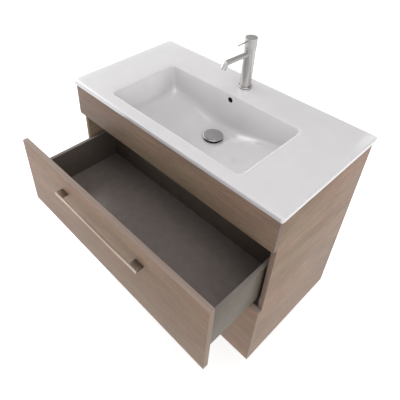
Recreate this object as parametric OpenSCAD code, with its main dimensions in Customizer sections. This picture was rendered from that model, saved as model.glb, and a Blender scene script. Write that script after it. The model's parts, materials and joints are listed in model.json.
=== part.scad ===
// Wall-hung bathroom vanity: ceramic basin top, two-drawer cabinet, pin-lever tap and waste.
// Frame: X to the right, Y into the wall, Z up. The origin is on the wall plane, at the
// cabinet's middle, in the centre of the wall rail's four screw holes.
// The upper drawer is drawn pulled out, the lower drawer shut, the drain cap raised.

/* [Basin top] */
// Overall width of the ceramic top
slab_w = 860; // [800:5:900]
// Overall depth of the ceramic top, from its front edge to the wall
slab_d = 456; // [446:2:480]
// Thickness of the ceramic top at its edge
slab_t = 18; // [14:1:24]
// Rounding of the top's upper edges
slab_edge_r = 5; // [2:0.5:7]
// Rounding of the top's corners seen from above
slab_corner_r = 7; // [6:1:14]
// Width of the bowl at its rim
bowl_w = 534; // [460:2:580]
// Depth of the bowl at its rim, front to back
bowl_d = 279; // [250:1:285]
// Distance from the top's front edge to the bowl's rim
front_rim = 42; // [40:1:52]
// Rounding of the bowl's corners seen from above
bowl_corner_r = 18; // [12:1:34]
// Depth of the bowl's floor at its left and right ends
bowl_end_depth = 97; // [85:1:110]
// Depth of the bowl's floor where it starts to fall more steeply
bowl_shoulder_depth = 119; // [114:1:124]
// Distance of that line from the bowl's middle
bowl_shoulder_x = 110; // [90:2:140]
// Depth of the bowl's floor at the drain
bowl_mid_depth = 139; // [132:1:142]
// Inward lean of each bowl wall from the rim to the floor
bowl_draft = 5; // [2:0.5:8]
// Rounding between the bowl's walls and its floor
bowl_floor_r = 20; // [12:1:30]
// Width of the flat strip of floor that carries the drain
floor_flat_w = 80; // [76:1:90]
// Wall thickness of the bowl
ceramic_t = 12; // [9:1:13]
// Distance from the bowl's back rim to the drain's axis
drain_from_rim = 72; // [66:1:90]
// Diameter of the drain hole
drain_hole_d = 46; // [45:0.5:48]
// Diameter of the overflow hole
overflow_d = 20; // [14:1:24]
// Drop from the top surface to the middle of the overflow hole
overflow_drop = 22; // [20:1:28]
// Inner width of the overflow channel
channel_w = 30; // [26:1:40]
// Inner depth of the overflow channel
channel_t = 8; // [6:0.5:9]
// Wall thickness of the overflow channel
channel_wall = 5; // [4:0.5:6]

/* [Cabinet] */
// Height of the cabinet's side panels
cabinet_h = 677; // [660:1:720]
// Width by which the top stands past the cabinet on each side
side_overhang = 7; // [4:0.5:10]
// Depth by which the top stands past the fronts
front_overhang = 6; // [3:0.5:8]
// Thickness of the carcass panels
panel_t = 15; // [14:0.5:18]
// Thickness of the apron and of the drawer fronts
front_t = 18; // [16:1:20]
// Height of the fixed apron under the top
apron_h = 118; // [112:1:122]
// Open joint between apron and fronts
front_gap = 4; // [3:0.5:5]
// Height of the upper drawer's front
upper_front_h = 271; // [262:1:276]
// Thickness of the sealant bead between cabinet and top
seal_t = 1; // [0.6:0.1:2]
// Width of the sealant bead
seal_w = 8; // [5:1:12]
// Set-back of the sealant bead from the cabinet's outside
seal_inset = 3; // [2:0.5:5]
// Height of the two rails across the back of the carcass
rear_rail_h = 90; // [70:1:95]
// Free depth behind the rear rails for the wall fixing
rear_inset = 25; // [20:1:28]
// Diameter of the cam fittings that hold the carcass together
cam_d = 15; // [12:1:16]
// Length of the cam fittings
cam_l = 12; // [9:0.5:12.5]
// Distance of the cam fittings from the panel's end
cam_from_end = 34; // [24:1:40]
// Leg length of the angle brackets behind the apron
bracket_leg = 40; // [30:1:44]
// Sheet thickness of the angle brackets
bracket_t = 2; // [1.5:0.5:3]

/* [Drawers] */
// How far the upper drawer is pulled out in this model
upper_opening = 231; // [150:1:300]
// Gap between a drawer's side and the cabinet's side panel
drawer_side_gap = 10; // [8:0.5:14]
// Thickness of the drawer's sides and back
drawer_side_t = 13; // [12:0.5:16]
// Height of the drawer's sides
drawer_side_h = 147; // [130:1:150]
// Drop from the top of a drawer's front to the top of its sides
drawer_side_drop = 102; // [100:1:106]
// Thickness of the drawer's bottom
drawer_bottom_t = 10; // [8:0.5:14]
// Free height under the drawer's bottom for the runners
runner_recess = 13; // [12:0.5:16]

/* [Runners] */
// Sheet thickness of the fixed rails
rail_sheet = 1.5; // [1.2:0.1:2]
// Width of the sliding rails
rail_w = 24; // [18:1:28]
// Height of the middle rails
middle_rail_h = 6.5; // [5:0.5:7]
// Height of a fixed rail's flange on the side panel
rail_flange_h = 30; // [24:1:40]
// Length of the rails, and depth of the drawer boxes behind the fronts
rail_l = 340; // [320:1:342]
// Running gap between sliding rails
rail_play = 0.3; // [0.2:0.1:0.4]
// Gap between a drawer side and the fixed rail below it
rail_under = 3; // [2:0.5:4]

/* [Handles] */
// Overall length of a handle
handle_l = 391; // [300:1:450]
// Width of each handle foot along the bar
handle_foot_w = 33; // [24:1:40]
// Depth of each handle foot, from the front to the bar
handle_foot_d = 21; // [18:1:30]
// Depth of the handle's bar
handle_bar_d = 6; // [5:0.5:9]
// Height of the handle's bar
handle_bar_h = 9; // [7:0.5:12]
// Thickness of each handle foot
handle_foot_t = 5; // [4:0.5:7]
// Drop from the top of a front to the top of its handle
handle_drop = 62; // [50:1:80]
// Diameter of the handle screws
handle_screw_d = 4; // [3.5:0.5:5]
// Diameter of the handle screws' heads
handle_screw_head_d = 8; // [7:0.5:10]

/* [Tap] */
// Distance from the wall to the tap's axis
tap_from_wall = 63; // [58:1:70]
// Diameter of the tap's column
tap_d = 36.5; // [34:0.5:38]
// Height of the column above the top, up to the joint under the cap
tap_column_h = 141; // [130:1:160]
// Diameter of the tap's cap
tap_cap_d = 38; // [38:0.5:40]
// Height of the tap's cap
tap_cap_h = 34; // [30:1:40]
// Diameter of the tap's base ring
tap_base_d = 46; // [44:1:50]
// Height of the tap's base ring
tap_base_h = 6; // [4:0.5:8]
// Diameter of the tap hole in the top
tap_hole_d = 35; // [34:0.5:36]
// Thickness of the gasket under the tap
gasket_t = 1.5; // [1:0.5:2]
// Diameter of the spout
spout_d = 17.5; // [16:0.5:20]
// Bore of the spout
spout_bore_d = 12; // [10:0.5:13]
// Height of the spout's axis above the top, at the column
spout_h = 121; // [112:1:125]
// Length of the spout from the tap's axis to the corner of its bend
spout_reach = 112; // [90:1:130]
// Radius of the spout's bend
spout_bend_r = 12; // [10.5:0.5:20]
// Rise of the spout's straight part
spout_rise = 3; // [0:0.5:6]
// Slope of the spout's nozzle below the horizontal
nozzle_dip = 50; // [40:1:60]
// Length of the nozzle from the corner of the bend
nozzle_l = 21; // [19:1:28]
// Diameter of the pin lever
lever_d = 4.8; // [4:0.2:6]
// Length of the pin lever outside the cap
lever_l = 44; // [36:1:60]
// Height of the pin lever above the joint under the cap
lever_h = 26; // [24:1:28]
// Depth to which the pin lever sits in the cap
lever_seat = 11; // [8:0.5:12]
// Largest lift of the cap that its sloped skirt leaves room for
cap_slope = 18; // [16:1:20]
// Diameter of the cartridge
cartridge_d = 28; // [26:0.5:29]
// Diameter of the supply threads in the tap's underside
inlet_d = 10; // [9:0.5:10.5]
// Depth of the supply threads
inlet_l = 14; // [10:1:20]

/* [Waste] */
// Diameter of the drain's flange
flange_d = 64; // [60:1:68]
// Diameter of the drain's cap
cap_d = 68; // [64:1:70]
// Height of the drain's cap at its rim
cap_h = 6; // [4:0.5:7]
// Rise of the cap's top from its rim to its middle
cap_crown = 0.8; // [0.4:0.1:1.5]
// Travel of the drain's cap
cap_travel = 5; // [3:0.5:6]
// Diameter of the drain's tail pipe
tail_d = 42; // [40:0.5:43]
// Wall thickness of the drain's tail pipe
tail_wall = 2.5; // [2:0.5:3]
// Thickness of the drain's flange
flange_t = 2.5; // [2:0.5:3]
// Thickness of the seal under the flange
drain_seal_t = 1.5; // [1:0.5:2]
// Diameter of the drain cap's stem
stem_d = 6; // [5:0.5:7]
// Outer diameter of the waste pipes
pipe_d = 32; // [30:1:34]
// Wall thickness of the waste pipes
pipe_wall = 1.8; // [1.5:0.1:2.4]
// Radius of the trap's bend
trap_r = 36; // [34:1:42]
// Drop from the horizontal waste pipe to the trap's bend
trap_drop = 92; // [80:1:110]
// Radius of the two quarter bends
quarter_r = 24; // [22:1:26]
// Distance from the wall to the trap
trap_from_wall = 62; // [60:1:64]
// Length of the waste pipe behind the wall plane
outlet_stub = 30; // [20:1:50]
// Width of the seal groove at the root of that length
outlet_groove_w = 2; // [1.5:0.5:3]
// Depth of the seal groove
outlet_groove_t = 0.6; // [0.3:0.1:0.8]
// Diameter of the wall rosette
rosette_d = 72; // [60:1:80]
// Thickness of the wall rosette
rosette_t = 8; // [5:1:12]

/* [Wall fixing] */
// Drop from the cabinet's top to the middle of the wall rail's screw holes
rail_drop = 55; // [55:1:70]
// Distance from each end of the wall rail to its screw holes
fixing_from_end = 44; // [20:2:160]
// Distance between the upper and the lower screw holes
fixing_pitch_z = 32; // [24:1:36]
// Diameter of the screw holes in the wall rail
fixing_hole_d = 8; // [6:0.5:10]
// Sheet thickness of the wall rail
wall_rail_t = 2.5; // [2:0.5:3]
// Height of the lip that the hangers hook over
lip_h = 16; // [12:1:17]
// Free depth between the lip and the wall
lip_gap = 5; // [4:0.5:6]
// Width of each cabinet hanger
hanger_w = 20; // [16:1:26]
// Depth of each cabinet hanger's body
hanger_d = 38; // [30:1:44]

/* [Hidden] */
$fn = 64;

// Clearances and small shapes
fit_gap = 0.05;
seat_gap = 0.3;
cut_over = 1;
arc_steps = 8;
edge_under_r = 2;
screw_d = 4;
screw_head_t = 2.5;
hanger_screw_d = 8;
thread_play = 0.2;

// Cabinet levels and planes
cab_w = slab_w - 2 * side_overhang;
cab_top = rail_drop;
cab_bot = cab_top - cabinet_h;
slab_bot = cab_top + seal_t;
slab_top = slab_bot + slab_t;
carcass_y = -(slab_d - front_overhang - front_t);
face_y = carcass_y - front_t;
inner_x = cab_w / 2 - panel_t;
rear_rail_y = -(rear_inset + panel_t);
apron_bot = cab_top - apron_h;
upper_front_top = apron_bot - front_gap;
upper_front_bot = upper_front_top - upper_front_h;
lower_front_top = upper_front_bot - front_gap;
lower_front_h = lower_front_top - cab_bot;

// Wall rail and hangers
fixing_edge = 12;
wall_plate_h = fixing_pitch_z + 2 * fixing_edge;
rail_end_gap = 4;
wall_rail_x = inner_x - rail_end_gap;
fixing_x = wall_rail_x - fixing_from_end;
lip_bot = wall_plate_h / 2;
lip_top = lip_bot + wall_rail_t + lip_h;
lip_front = -(lip_gap + wall_rail_t);
hook_play = 1;
hook_t = lip_gap - 2 * hook_play;
hook_bridge_h = 4;
hook_clear = 3;
hanger_arm_l = 14;
hanger_y = lip_front - hanger_arm_l;
hanger_bot = 0;
hanger_top = lip_top + seat_gap + hook_bridge_h;
hanger_arm_h = 14;
hanger_screw_drop = 12;
hanger_screw_l = 6;
rear_rail_gap = 7;
rear_rail_top = -(wall_plate_h / 2 + rear_rail_gap);
cam_levels = [0.25, 0.75];

// Basin
rim_front_y = -(slab_d - front_rim);
rim_back_y = rim_front_y + bowl_d;
bowl_y = (rim_front_y + rim_back_y) / 2;
floor_z = slab_top - bowl_mid_depth;
bowl_under = floor_z - ceramic_t;
channel_bot = bowl_under - channel_t - channel_wall;
channel_back = rim_back_y + ceramic_t + channel_t + channel_wall;
overflow_z = slab_top - overflow_drop;
drain_y = rim_back_y - drain_from_rim;
tap_y = -tap_from_wall;

// Drain: its flange lies flush in a recess of the bowl's floor
flange_top = floor_z;
flange_z = flange_top - flange_t;
recess_play = 0.6;
recess_z = flange_z - drain_seal_t;
recess_r = flange_d / 2 + recess_play;
cap_under = flange_top + seat_gap + cap_travel;
tail_r = tail_d / 2;
tail_bore = tail_r - tail_wall;
seal_step = 2;
lower_seal_t = 3;
lower_seal_w = 7;
nut_w = 8;
nut_h = 8;
nut_z = channel_bot - lower_seal_t - nut_h;
tail_past_nut = 8;
tail_end = nut_z - tail_past_nut;
overflow_slot_h = channel_t - 1;
cup_wall = 3.5;
cup_r = tail_r + cup_wall;
cup_top = nut_z - seat_gap;
cup_clear = 6;
pipe_r = pipe_d / 2;
pipe_bore = pipe_r - pipe_wall;
pipe_z = tail_end - pipe_r - cup_clear;
cup_bot = pipe_z - pipe_r - pipe_wall;
spigot_l = 26;
spigot_end = drain_y + cup_r + spigot_l;
slip_wall = 4.5;
slip_r = pipe_r + slip_wall;
slip_l = 16;
hub_r = 8;
hub_h = 22;
hub_drop = 14;
hub_z = flange_z - hub_drop - hub_h;
spoke_t = 3;
stem_r = stem_d / 2;
stem_lift = 1;
stem_end = hub_z + stem_lift;

// Trap
trap_y = -trap_from_wall;
inlet_turn_y = trap_y - quarter_r;
leg_top = pipe_z - quarter_r;
trap_z = pipe_z - trap_drop;
outlet_x = 2 * trap_r;
outlet_leg = 34;
outlet_leg_top = trap_z + outlet_leg;
outlet_z = outlet_leg_top + quarter_r;
outlet_turn_y = trap_y + quarter_r;

// Tap
tap_r = tap_d / 2;
tap_foot = slab_top + gasket_t;
column_top = slab_top + tap_column_h;
cap_r = tap_cap_d / 2;
cap_seam = 0.4;
cap_wall = 4;
cap_lug_slot = 2;
cap_roof = 3;
cap_cavity_h = lever_h - lever_d / 2 - cap_roof;
spout_z = slab_top + spout_h;
spout_r = spout_d / 2;
spout_turn = spout_rise + nozzle_dip;
bend_tangent = spout_bend_r * tan(spout_turn / 2);
spout_straight = spout_reach - bend_tangent;
nozzle_straight = nozzle_l - bend_tangent;
nozzle_lap = 1.5;
nozzle_step = 0.3;
cartridge_r = cartridge_d / 2;
cartridge_drop = 6;
cartridge_top = column_top - cartridge_drop;
cartridge_l = 44;
cartridge_foot_h = 14;
cartridge_head_h = 6;
cartridge_waist = 2.5;
waterway_r = 3;
chamber_r = cartridge_r + thread_play;
spindle_r = 4;
spindle_l = 18;
cross_pin_r = 2;
cross_pin_l = 15;
lug_r = 4;
lug_play = 0.5;
lug_in = spindle_r + lug_play;
lug_out = cross_pin_l / 2;
lever_z = column_top + lever_h;
spindle_past_pin = 2;
spindle_seat = 2;
aerator_wall = 0.8;
aerator_step = 1;
aerator_r = spout_r - aerator_wall;
aerator_l = 7;
aerator_out = 2;
gasket_step = 1;
gasket_lap = 4;
stud_r = 3;
stud_past_top = 34;
stud_l = slab_t + stud_past_top;
stud_behind = 9;
stud_y = tap_y + stud_behind;
inlet_x = 8;
inlet_before = 5;
inlet_y = tap_y - inlet_before;
lever_end_step = 0.8;
backplate_r = 25;
backplate_t = 3;
hose_play = 1;
tap_nut_r = 6.5;
tap_nut_h = 8;

// Drawers
drawer_x = inner_x - drawer_side_gap;
drawer_in_x = drawer_x - drawer_side_t;
rail_side_gap = 2;
rail_x = drawer_in_x - rail_side_gap - rail_w;
screw_tip_gap = 2;
upper_side_top = upper_front_top - drawer_side_drop;
lower_side_top = lower_front_top - drawer_side_drop;
screw_half_pitch = handle_l / 2 - handle_foot_w / 2;
half_travel = 0.5;

// ---- helpers -------------------------------------------------------------

// A box given by its two opposite corners
module block(low, high) {
    translate(low) cube(high - low);
}

// The children and their mirror image on the left
module both_sides() {
    children();
    mirror([1, 0, 0]) children();
}

// A rounded rectangle centred on the origin
module rounded_rect(w, d, r) {
    square([w - 2 * r, d], center = true);
    square([w, d - 2 * r], center = true);
    for (sx = [-1, 1], sy = [-1, 1]) {
        translate([sx * (w / 2 - r), sy * (d / 2 - r)]) circle(r);
    }
}

// A round tube along +Z from the origin
module tube(outer, bore, h) {
    difference() {
        cylinder(r = outer, h = h);
        translate([0, 0, -cut_over]) cylinder(r = bore, h = h + 2 * cut_over);
    }
}

// A tube along +Y from a point
module tube_y(at, outer, bore, l) {
    translate(at) rotate([-90, 0, 0]) tube(outer, bore, l);
}

// Part of a torus-shaped tube, in the XY plane about the origin
module bend(radius, outer, bore, turn) {
    rotate_extrude(angle = turn) translate([radius, 0]) {
        difference() {
            circle(outer);
            circle(bore);
        }
    }
}

// Points along an arc
function arc(centre, r, from, to) = [
    for (i = [0 : arc_steps])
        let (a = from + (to - from) * i / arc_steps)
        centre + r * [cos(a), sin(a)]
];

// Outline with rounded upper corners and slightly rounded lower ones
module edge_profile(w) {
    top_r = slab_edge_r;
    under_r = edge_under_r;
    polygon(concat(
        arc([w / 2 - under_r, under_r], under_r, -90, 0),
        arc([w / 2 - top_r, slab_t - top_r], top_r, 0, 90),
        arc([-w / 2 + top_r, slab_t - top_r], top_r, 90, 180),
        arc([-w / 2 + under_r, under_r], under_r, 180, 270)
    ));
}

// ---- basin ---------------------------------------------------------------

// Long section of the bowl, grown outwards by g, up to the level top
module bowl_long_section(g, top) {
    half = bowl_w / 2 + g;
    foot = half - bowl_draft;
    end_z = slab_top - bowl_end_depth - g;
    r = bowl_floor_r + g;
    right = concat(
        [[floor_flat_w / 2, floor_z - g]],
        [[bowl_shoulder_x, slab_top - bowl_shoulder_depth - g]],
        arc([foot - r, end_z + r], r, -90, 0),
        [[half, top]]
    );
    left = [for (i = [len(right) - 1 : -1 : 0]) [-right[i][0], right[i][1]]];
    polygon(concat(right, left));
}

// Cross section of the bowl, grown outwards by g, up to the level top
module bowl_cross_section(g, top) {
    front = rim_front_y - g;
    back = rim_back_y + g;
    low = floor_z - g;
    r = bowl_floor_r + g;
    polygon(concat(
        [[front, top]],
        arc([front + bowl_draft + r, low + r], r, 180, 270),
        arc([back - bowl_draft - r, low + r], r, 270, 360),
        [[back, top]]
    ));
}

// The bowl's space, or its outside when grown by the wall thickness
module bowl_form(g, top) {
    depth = top - floor_z + g + cut_over;
    intersection() {
        translate([0, bowl_y, top - depth]) linear_extrude(depth)
            rounded_rect(bowl_w + 2 * g, bowl_d + 2 * g, bowl_corner_r + g);
        rotate([90, 0, 0]) translate([0, 0, -rim_back_y - g - cut_over])
            linear_extrude(bowl_d + 2 * g + 2 * cut_over) bowl_long_section(g, top);
        rotate([90, 0, 90]) translate([0, 0, -bowl_w / 2 - g - cut_over])
            linear_extrude(bowl_w + 2 * g + 2 * cut_over) bowl_cross_section(g, top);
    }
}

// The flat top with its rounded edges
module slab_form() {
    translate([0, 0, slab_bot]) intersection() {
        translate([0, -slab_d / 2, 0]) linear_extrude(slab_t)
            rounded_rect(slab_w, slab_d, slab_corner_r);
        rotate([90, 0, 0]) translate([0, 0, -cut_over])
            linear_extrude(slab_d + 2 * cut_over) edge_profile(slab_w);
        rotate([90, 0, 90]) translate([0, 0, -slab_w / 2 - cut_over])
            linear_extrude(slab_w + 2 * cut_over)
                translate([-slab_d / 2, 0]) edge_profile(slab_d);
    }
}

// The overflow channel's outside, down the back of the bowl and under its floor
module channel_form() {
    half = channel_w / 2 + channel_wall;
    block([-half, rim_back_y + channel_wall, channel_bot], [half, channel_back, slab_bot]);
    block([-half, drain_y, channel_bot], [half, channel_back, bowl_under + cut_over]);
    translate([0, drain_y, channel_bot])
        cylinder(r = drain_hole_d / 2 + 2 * channel_wall, h = bowl_under + cut_over - channel_bot);
}

// The space inside the overflow channel
module channel_space() {
    half = channel_w / 2;
    duct_front = rim_back_y + ceramic_t;
    duct_low = channel_bot + channel_wall;
    block([-half, duct_front, duct_low], [half, duct_front + channel_t, overflow_z + overflow_d / 2]);
    block([-half, drain_y, duct_low], [half, duct_front + channel_t, duct_low + channel_t]);
}

// The spaces that the bowl, its overflow and the drain leave in the ceramic
module basin_spaces() {
    bowl_form(0, slab_top + cut_over);
    channel_space();
    translate([0, rim_back_y - bowl_draft - cut_over, overflow_z]) rotate([-90, 0, 0])
        cylinder(d = overflow_d, h = ceramic_t + bowl_draft + channel_t / 2 + cut_over);
    translate([0, drain_y, channel_bot - cut_over])
        cylinder(d = drain_hole_d, h = floor_z - channel_bot + 2 * cut_over);
    translate([0, drain_y, recess_z]) cylinder(r = recess_r, h = floor_z - recess_z + cut_over);
}

// The flat top of the basin, which is one ceramic piece with the bowl
module basin_slab() {
    color("whitesmoke") difference() {
        slab_form();
        basin_spaces();
        translate([0, tap_y, slab_bot - cut_over])
            cylinder(d = tap_hole_d, h = slab_t + 2 * cut_over);
    }
}

// The bowl below the flat top, with its overflow channel
module basin_bowl() {
    color("whitesmoke") difference() {
        union() {
            bowl_form(ceramic_t, slab_bot);
            channel_form();
        }
        basin_spaces();
    }
}

module basin_seal() {
    out_x = cab_w / 2 - seal_inset;
    out_front = face_y + seal_inset;
    color("gainsboro") difference() {
        block([-out_x, out_front, cab_top], [out_x, -seal_inset, slab_bot]);
        block([-out_x + seal_w, out_front + seal_w, cab_top - cut_over],
            [out_x - seal_w, -seal_inset + cut_over, slab_bot + cut_over]);
    }
}

// ---- cabinet -------------------------------------------------------------

module side_panel() {
    block([inner_x, carcass_y, cab_bot], [cab_w / 2, 0, cab_top]);
}

module side_panel_right() {
    color("tan") side_panel();
}

module side_panel_left() {
    color("tan") mirror([1, 0, 0]) side_panel();
}

// Cam fittings of the bottom panel, set in from below and standing out by over
module bottom_cams(r, over) {
    for (y = [carcass_y + 2 * cam_from_end, rear_rail_y - cam_from_end]) {
        both_sides() translate([inner_x - cam_from_end, y, cab_bot - over])
            cylinder(r = r, h = cam_l + over);
    }
}

// Cam fittings of a rear rail whose lower edge is at z, set in from behind
module rear_cams(z, r, over) {
    for (level = cam_levels) {
        both_sides() translate([inner_x - cam_from_end, over - rear_inset, z + rear_rail_h * level])
            rotate([90, 0, 0]) cylinder(r = r, h = cam_l + over);
    }
}

module bottom_panel() {
    color("tan") difference() {
        block([-inner_x, carcass_y, cab_bot], [inner_x, -rear_inset, cab_bot + panel_t]);
        bottom_cams(cam_d / 2 + fit_gap, cut_over);
    }
}

module rear_rail(z) {
    color("tan") difference() {
        block([-inner_x, rear_rail_y, z], [inner_x, -rear_inset, z + rear_rail_h]);
        rear_cams(z, cam_d / 2 + fit_gap, cut_over);
    }
}

module rear_top_rail() {
    rear_rail(rear_rail_top - rear_rail_h);
}

module rear_bottom_rail() {
    rear_rail(cab_bot + panel_t);
}

module cam_fittings() {
    color("silver") {
        bottom_cams(cam_d / 2, 0);
        rear_cams(rear_rail_top - rear_rail_h, cam_d / 2, 0);
        rear_cams(cab_bot + panel_t, cam_d / 2, 0);
    }
}

module front_apron() {
    color("rosybrown") block([-cab_w / 2, face_y, apron_bot], [cab_w / 2, carcass_y, cab_top]);
}

// Angle bracket between the apron's back and the right side panel
module apron_bracket() {
    low = apron_bot + bracket_leg;
    high = low + bracket_leg;
    mid_z = (low + high) / 2;
    difference() {
        union() {
            block([inner_x - bracket_leg, carcass_y, low], [inner_x, carcass_y + bracket_t, high]);
            block([inner_x - bracket_t, carcass_y, low], [inner_x, carcass_y + bracket_leg, high]);
        }
        translate([inner_x - bracket_leg / 2, carcass_y - cut_over, mid_z]) rotate([-90, 0, 0])
            cylinder(d = screw_d, h = bracket_t + 2 * cut_over);
        translate([inner_x - bracket_t - cut_over, carcass_y + bracket_leg / 2, mid_z])
            rotate([0, 90, 0]) cylinder(d = screw_d, h = bracket_t + 2 * cut_over);
    }
}

module apron_brackets() {
    color("silver") both_sides() apron_bracket();
}

// ---- wall fixing ---------------------------------------------------------

module wall_rail() {
    color("silver") difference() {
        union() {
            block([-wall_rail_x, -wall_rail_t, -wall_plate_h / 2], [wall_rail_x, 0, lip_bot + wall_rail_t]);
            block([-wall_rail_x, lip_front, lip_bot], [wall_rail_x, 0, lip_bot + wall_rail_t]);
            block([-wall_rail_x, lip_front, lip_bot], [wall_rail_x, -lip_gap, lip_top]);
        }
        for (sx = [-1, 1], sz = [-1, 1]) {
            translate([sx * fixing_x, -wall_rail_t - cut_over, sz * fixing_pitch_z / 2])
                rotate([-90, 0, 0]) cylinder(d = fixing_hole_d, h = wall_rail_t + 2 * cut_over);
        }
    }
}

// Hanger screwed to the side panel, hooked over the wall rail's lip
module hanger() {
    hook_back = -hook_play;
    hook_bot = lip_bot + wall_rail_t + hook_clear;
    arm_back = lip_front - hook_clear;
    low_x = inner_x - hanger_w;
    difference() {
        union() {
            block([low_x, hanger_y - hanger_d, hanger_bot], [inner_x, hanger_y, hanger_top]);
            block([low_x, hanger_y, hanger_top - hanger_arm_h], [wall_rail_x, arm_back, hanger_top]);
            block([low_x, arm_back, lip_top + seat_gap], [wall_rail_x, hook_back, hanger_top]);
            block([low_x, hook_back - hook_t, hook_bot], [wall_rail_x, hook_back, hanger_top]);
        }
        translate([inner_x - hanger_w / 2, hanger_y - hanger_d - cut_over, hanger_top - hanger_screw_drop])
            rotate([-90, 0, 0]) cylinder(d = hanger_screw_d, h = hanger_screw_l + cut_over);
    }
}

module hanger_right() {
    color("gray") hanger();
}

module hanger_left() {
    color("gray") mirror([1, 0, 0]) hanger();
}

// ---- waste ---------------------------------------------------------------

module drain_flange() {
    color("silver") translate([0, drain_y, 0]) difference() {
        union() {
            translate([0, 0, flange_z]) cylinder(d = flange_d, h = flange_t);
            translate([0, 0, tail_end]) cylinder(r = tail_r, h = flange_z - tail_end + flange_t);
        }
        translate([0, 0, tail_end - cut_over])
            cylinder(r = tail_bore, h = flange_top - tail_end + 2 * cut_over);
        translate([0, -tail_d, channel_bot + channel_wall + channel_t / 2]) rotate([-90, 0, 0])
            cylinder(d = overflow_slot_h, h = 2 * tail_d);
    }
}

module drain_cap() {
    edge = cap_h / 2;
    outline = concat(
        [[0, 0], [cap_d / 2 - edge, 0]],
        arc([cap_d / 2 - edge, edge], edge, -90, 90),
        [[0, cap_h + cap_crown]]
    );
    color("dimgray") translate([0, drain_y, 0]) {
        translate([0, 0, cap_under]) rotate_extrude() polygon(outline);
        translate([0, 0, stem_end]) cylinder(r = stem_r, h = cap_under - stem_end + cut_over);
    }
}

// Guide for the cap's stem: a hub with three spokes that end at the tail's wall
module drain_cartridge() {
    spoke_far = sqrt(pow(tail_bore - fit_gap, 2) - pow(spoke_t / 2, 2));
    color("white") translate([0, drain_y, hub_z]) linear_extrude(hub_h)
        difference() {
            union() {
                circle(hub_r);
                for (a = [0, 120, 240]) {
                    rotate(a) translate([spoke_far / 2, 0]) square([spoke_far, spoke_t], center = true);
                }
            }
            circle(stem_r + fit_gap);
        }
}

module drain_seals() {
    color("dimgray") translate([0, drain_y, 0]) {
        translate([0, 0, recess_z]) tube(flange_d / 2 - seal_step, tail_r + thread_play, drain_seal_t);
        translate([0, 0, channel_bot - lower_seal_t])
            tube(drain_hole_d / 2 + lower_seal_w, tail_r + thread_play, lower_seal_t);
    }
}

module drain_nut() {
    color("lightgray") translate([0, drain_y, nut_z]) difference() {
        cylinder(r = drain_hole_d / 2 + nut_w, h = nut_h, $fn = 8);
        translate([0, 0, -cut_over]) cylinder(r = tail_r + thread_play, h = nut_h + 2 * cut_over);
    }
}

module waste_cup() {
    color("white") difference() {
        union() {
            translate([0, drain_y, cup_bot]) cylinder(r = cup_r, h = cup_top - cup_bot);
            translate([0, drain_y, pipe_z]) rotate([-90, 0, 0])
                cylinder(r = pipe_r, h = spigot_end - drain_y);
        }
        translate([0, drain_y, cup_bot + tail_wall])
            cylinder(r = tail_r + thread_play, h = cup_top - cup_bot);
        translate([0, drain_y, pipe_z]) rotate([-90, 0, 0])
            cylinder(r = pipe_bore, h = spigot_end - drain_y + cut_over);
    }
}

// Straight pipe from the cup to the trap, with the quarter bend that turns down
module trap_pipe() {
    color("white") {
        tube_y([0, spigot_end, pipe_z], pipe_r, pipe_bore, inlet_turn_y - spigot_end);
        translate([0, inlet_turn_y, leg_top]) rotate([0, -90, 0]) bend(quarter_r, pipe_r, pipe_bore, 90);
    }
}

// The water-filled bend, open upwards at both ends
module trap_bend() {
    color("white") {
        translate([trap_r, trap_y, trap_z]) rotate([-90, 0, 0]) bend(trap_r, pipe_r, pipe_bore, 180);
        translate([0, trap_y, trap_z]) tube(pipe_r, pipe_bore, leg_top - trap_z);
        translate([outlet_x, trap_y, trap_z]) tube(pipe_r, pipe_bore, outlet_leg_top - trap_z);
    }
}

// Quarter bend towards the wall, and the pipe through the wall plane
module trap_outlet() {
    color("white") {
        translate([outlet_x, outlet_turn_y, outlet_leg_top]) rotate([0, 90, 0]) rotate([0, 0, 180])
            bend(quarter_r, pipe_r, pipe_bore, 90);
        difference() {
            tube_y([outlet_x, outlet_turn_y, outlet_z], pipe_r, pipe_bore, outlet_stub - outlet_turn_y);
            tube_y([outlet_x, 0, outlet_z], slip_r, pipe_r - outlet_groove_t, outlet_groove_w);
        }
    }
}

module slip_nuts() {
    bore = pipe_r + thread_play;
    color("lightgray") {
        tube_y([0, spigot_end - slip_l / 2, pipe_z], slip_r, bore, slip_l);
        translate([0, trap_y, leg_top - slip_l]) tube(slip_r, bore, slip_l);
        translate([outlet_x, trap_y, outlet_leg_top - slip_l]) tube(slip_r, bore, slip_l);
    }
}

module wall_rosette() {
    color("white") tube_y([outlet_x, -rosette_t, outlet_z], rosette_d / 2, pipe_r + thread_play, rosette_t);
}

// ---- tap -----------------------------------------------------------------

module tap_gasket() {
    color("dimgray") translate([0, tap_y, slab_top])
        tube(tap_base_d / 2 - gasket_step, tap_hole_d / 2 - gasket_lap, gasket_t);
}

module tap_base_ring() {
    color("silver") translate([0, tap_y, tap_foot])
        tube(tap_base_d / 2, tap_r + fit_gap, tap_base_h);
}

// The children placed on the spout's axis at the column, looking along its straight part
module along_spout() {
    translate([0, tap_y, spout_z]) rotate([90 - spout_rise, 0, 0]) children();
}

// The children placed where the bend ends, looking along the nozzle
module along_nozzle() {
    along_spout() translate([0, -spout_bend_r, spout_straight]) rotate([spout_turn, 0, 0])
        translate([0, spout_bend_r, 0]) children();
}

// Spout of the given radius from the distance from, with its bend and its slightly wider nozzle
module spout_run(r, from, past) {
    along_spout() translate([0, 0, from]) cylinder(r = r, h = spout_straight - from);
    along_spout() translate([0, -spout_bend_r, spout_straight]) rotate([90, 0, 90])
        rotate_extrude(angle = spout_turn) translate([spout_bend_r, 0]) circle(r);
    along_nozzle() translate([0, 0, -nozzle_lap])
        cylinder(r = r + nozzle_step, h = nozzle_lap + nozzle_straight + past);
}

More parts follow.
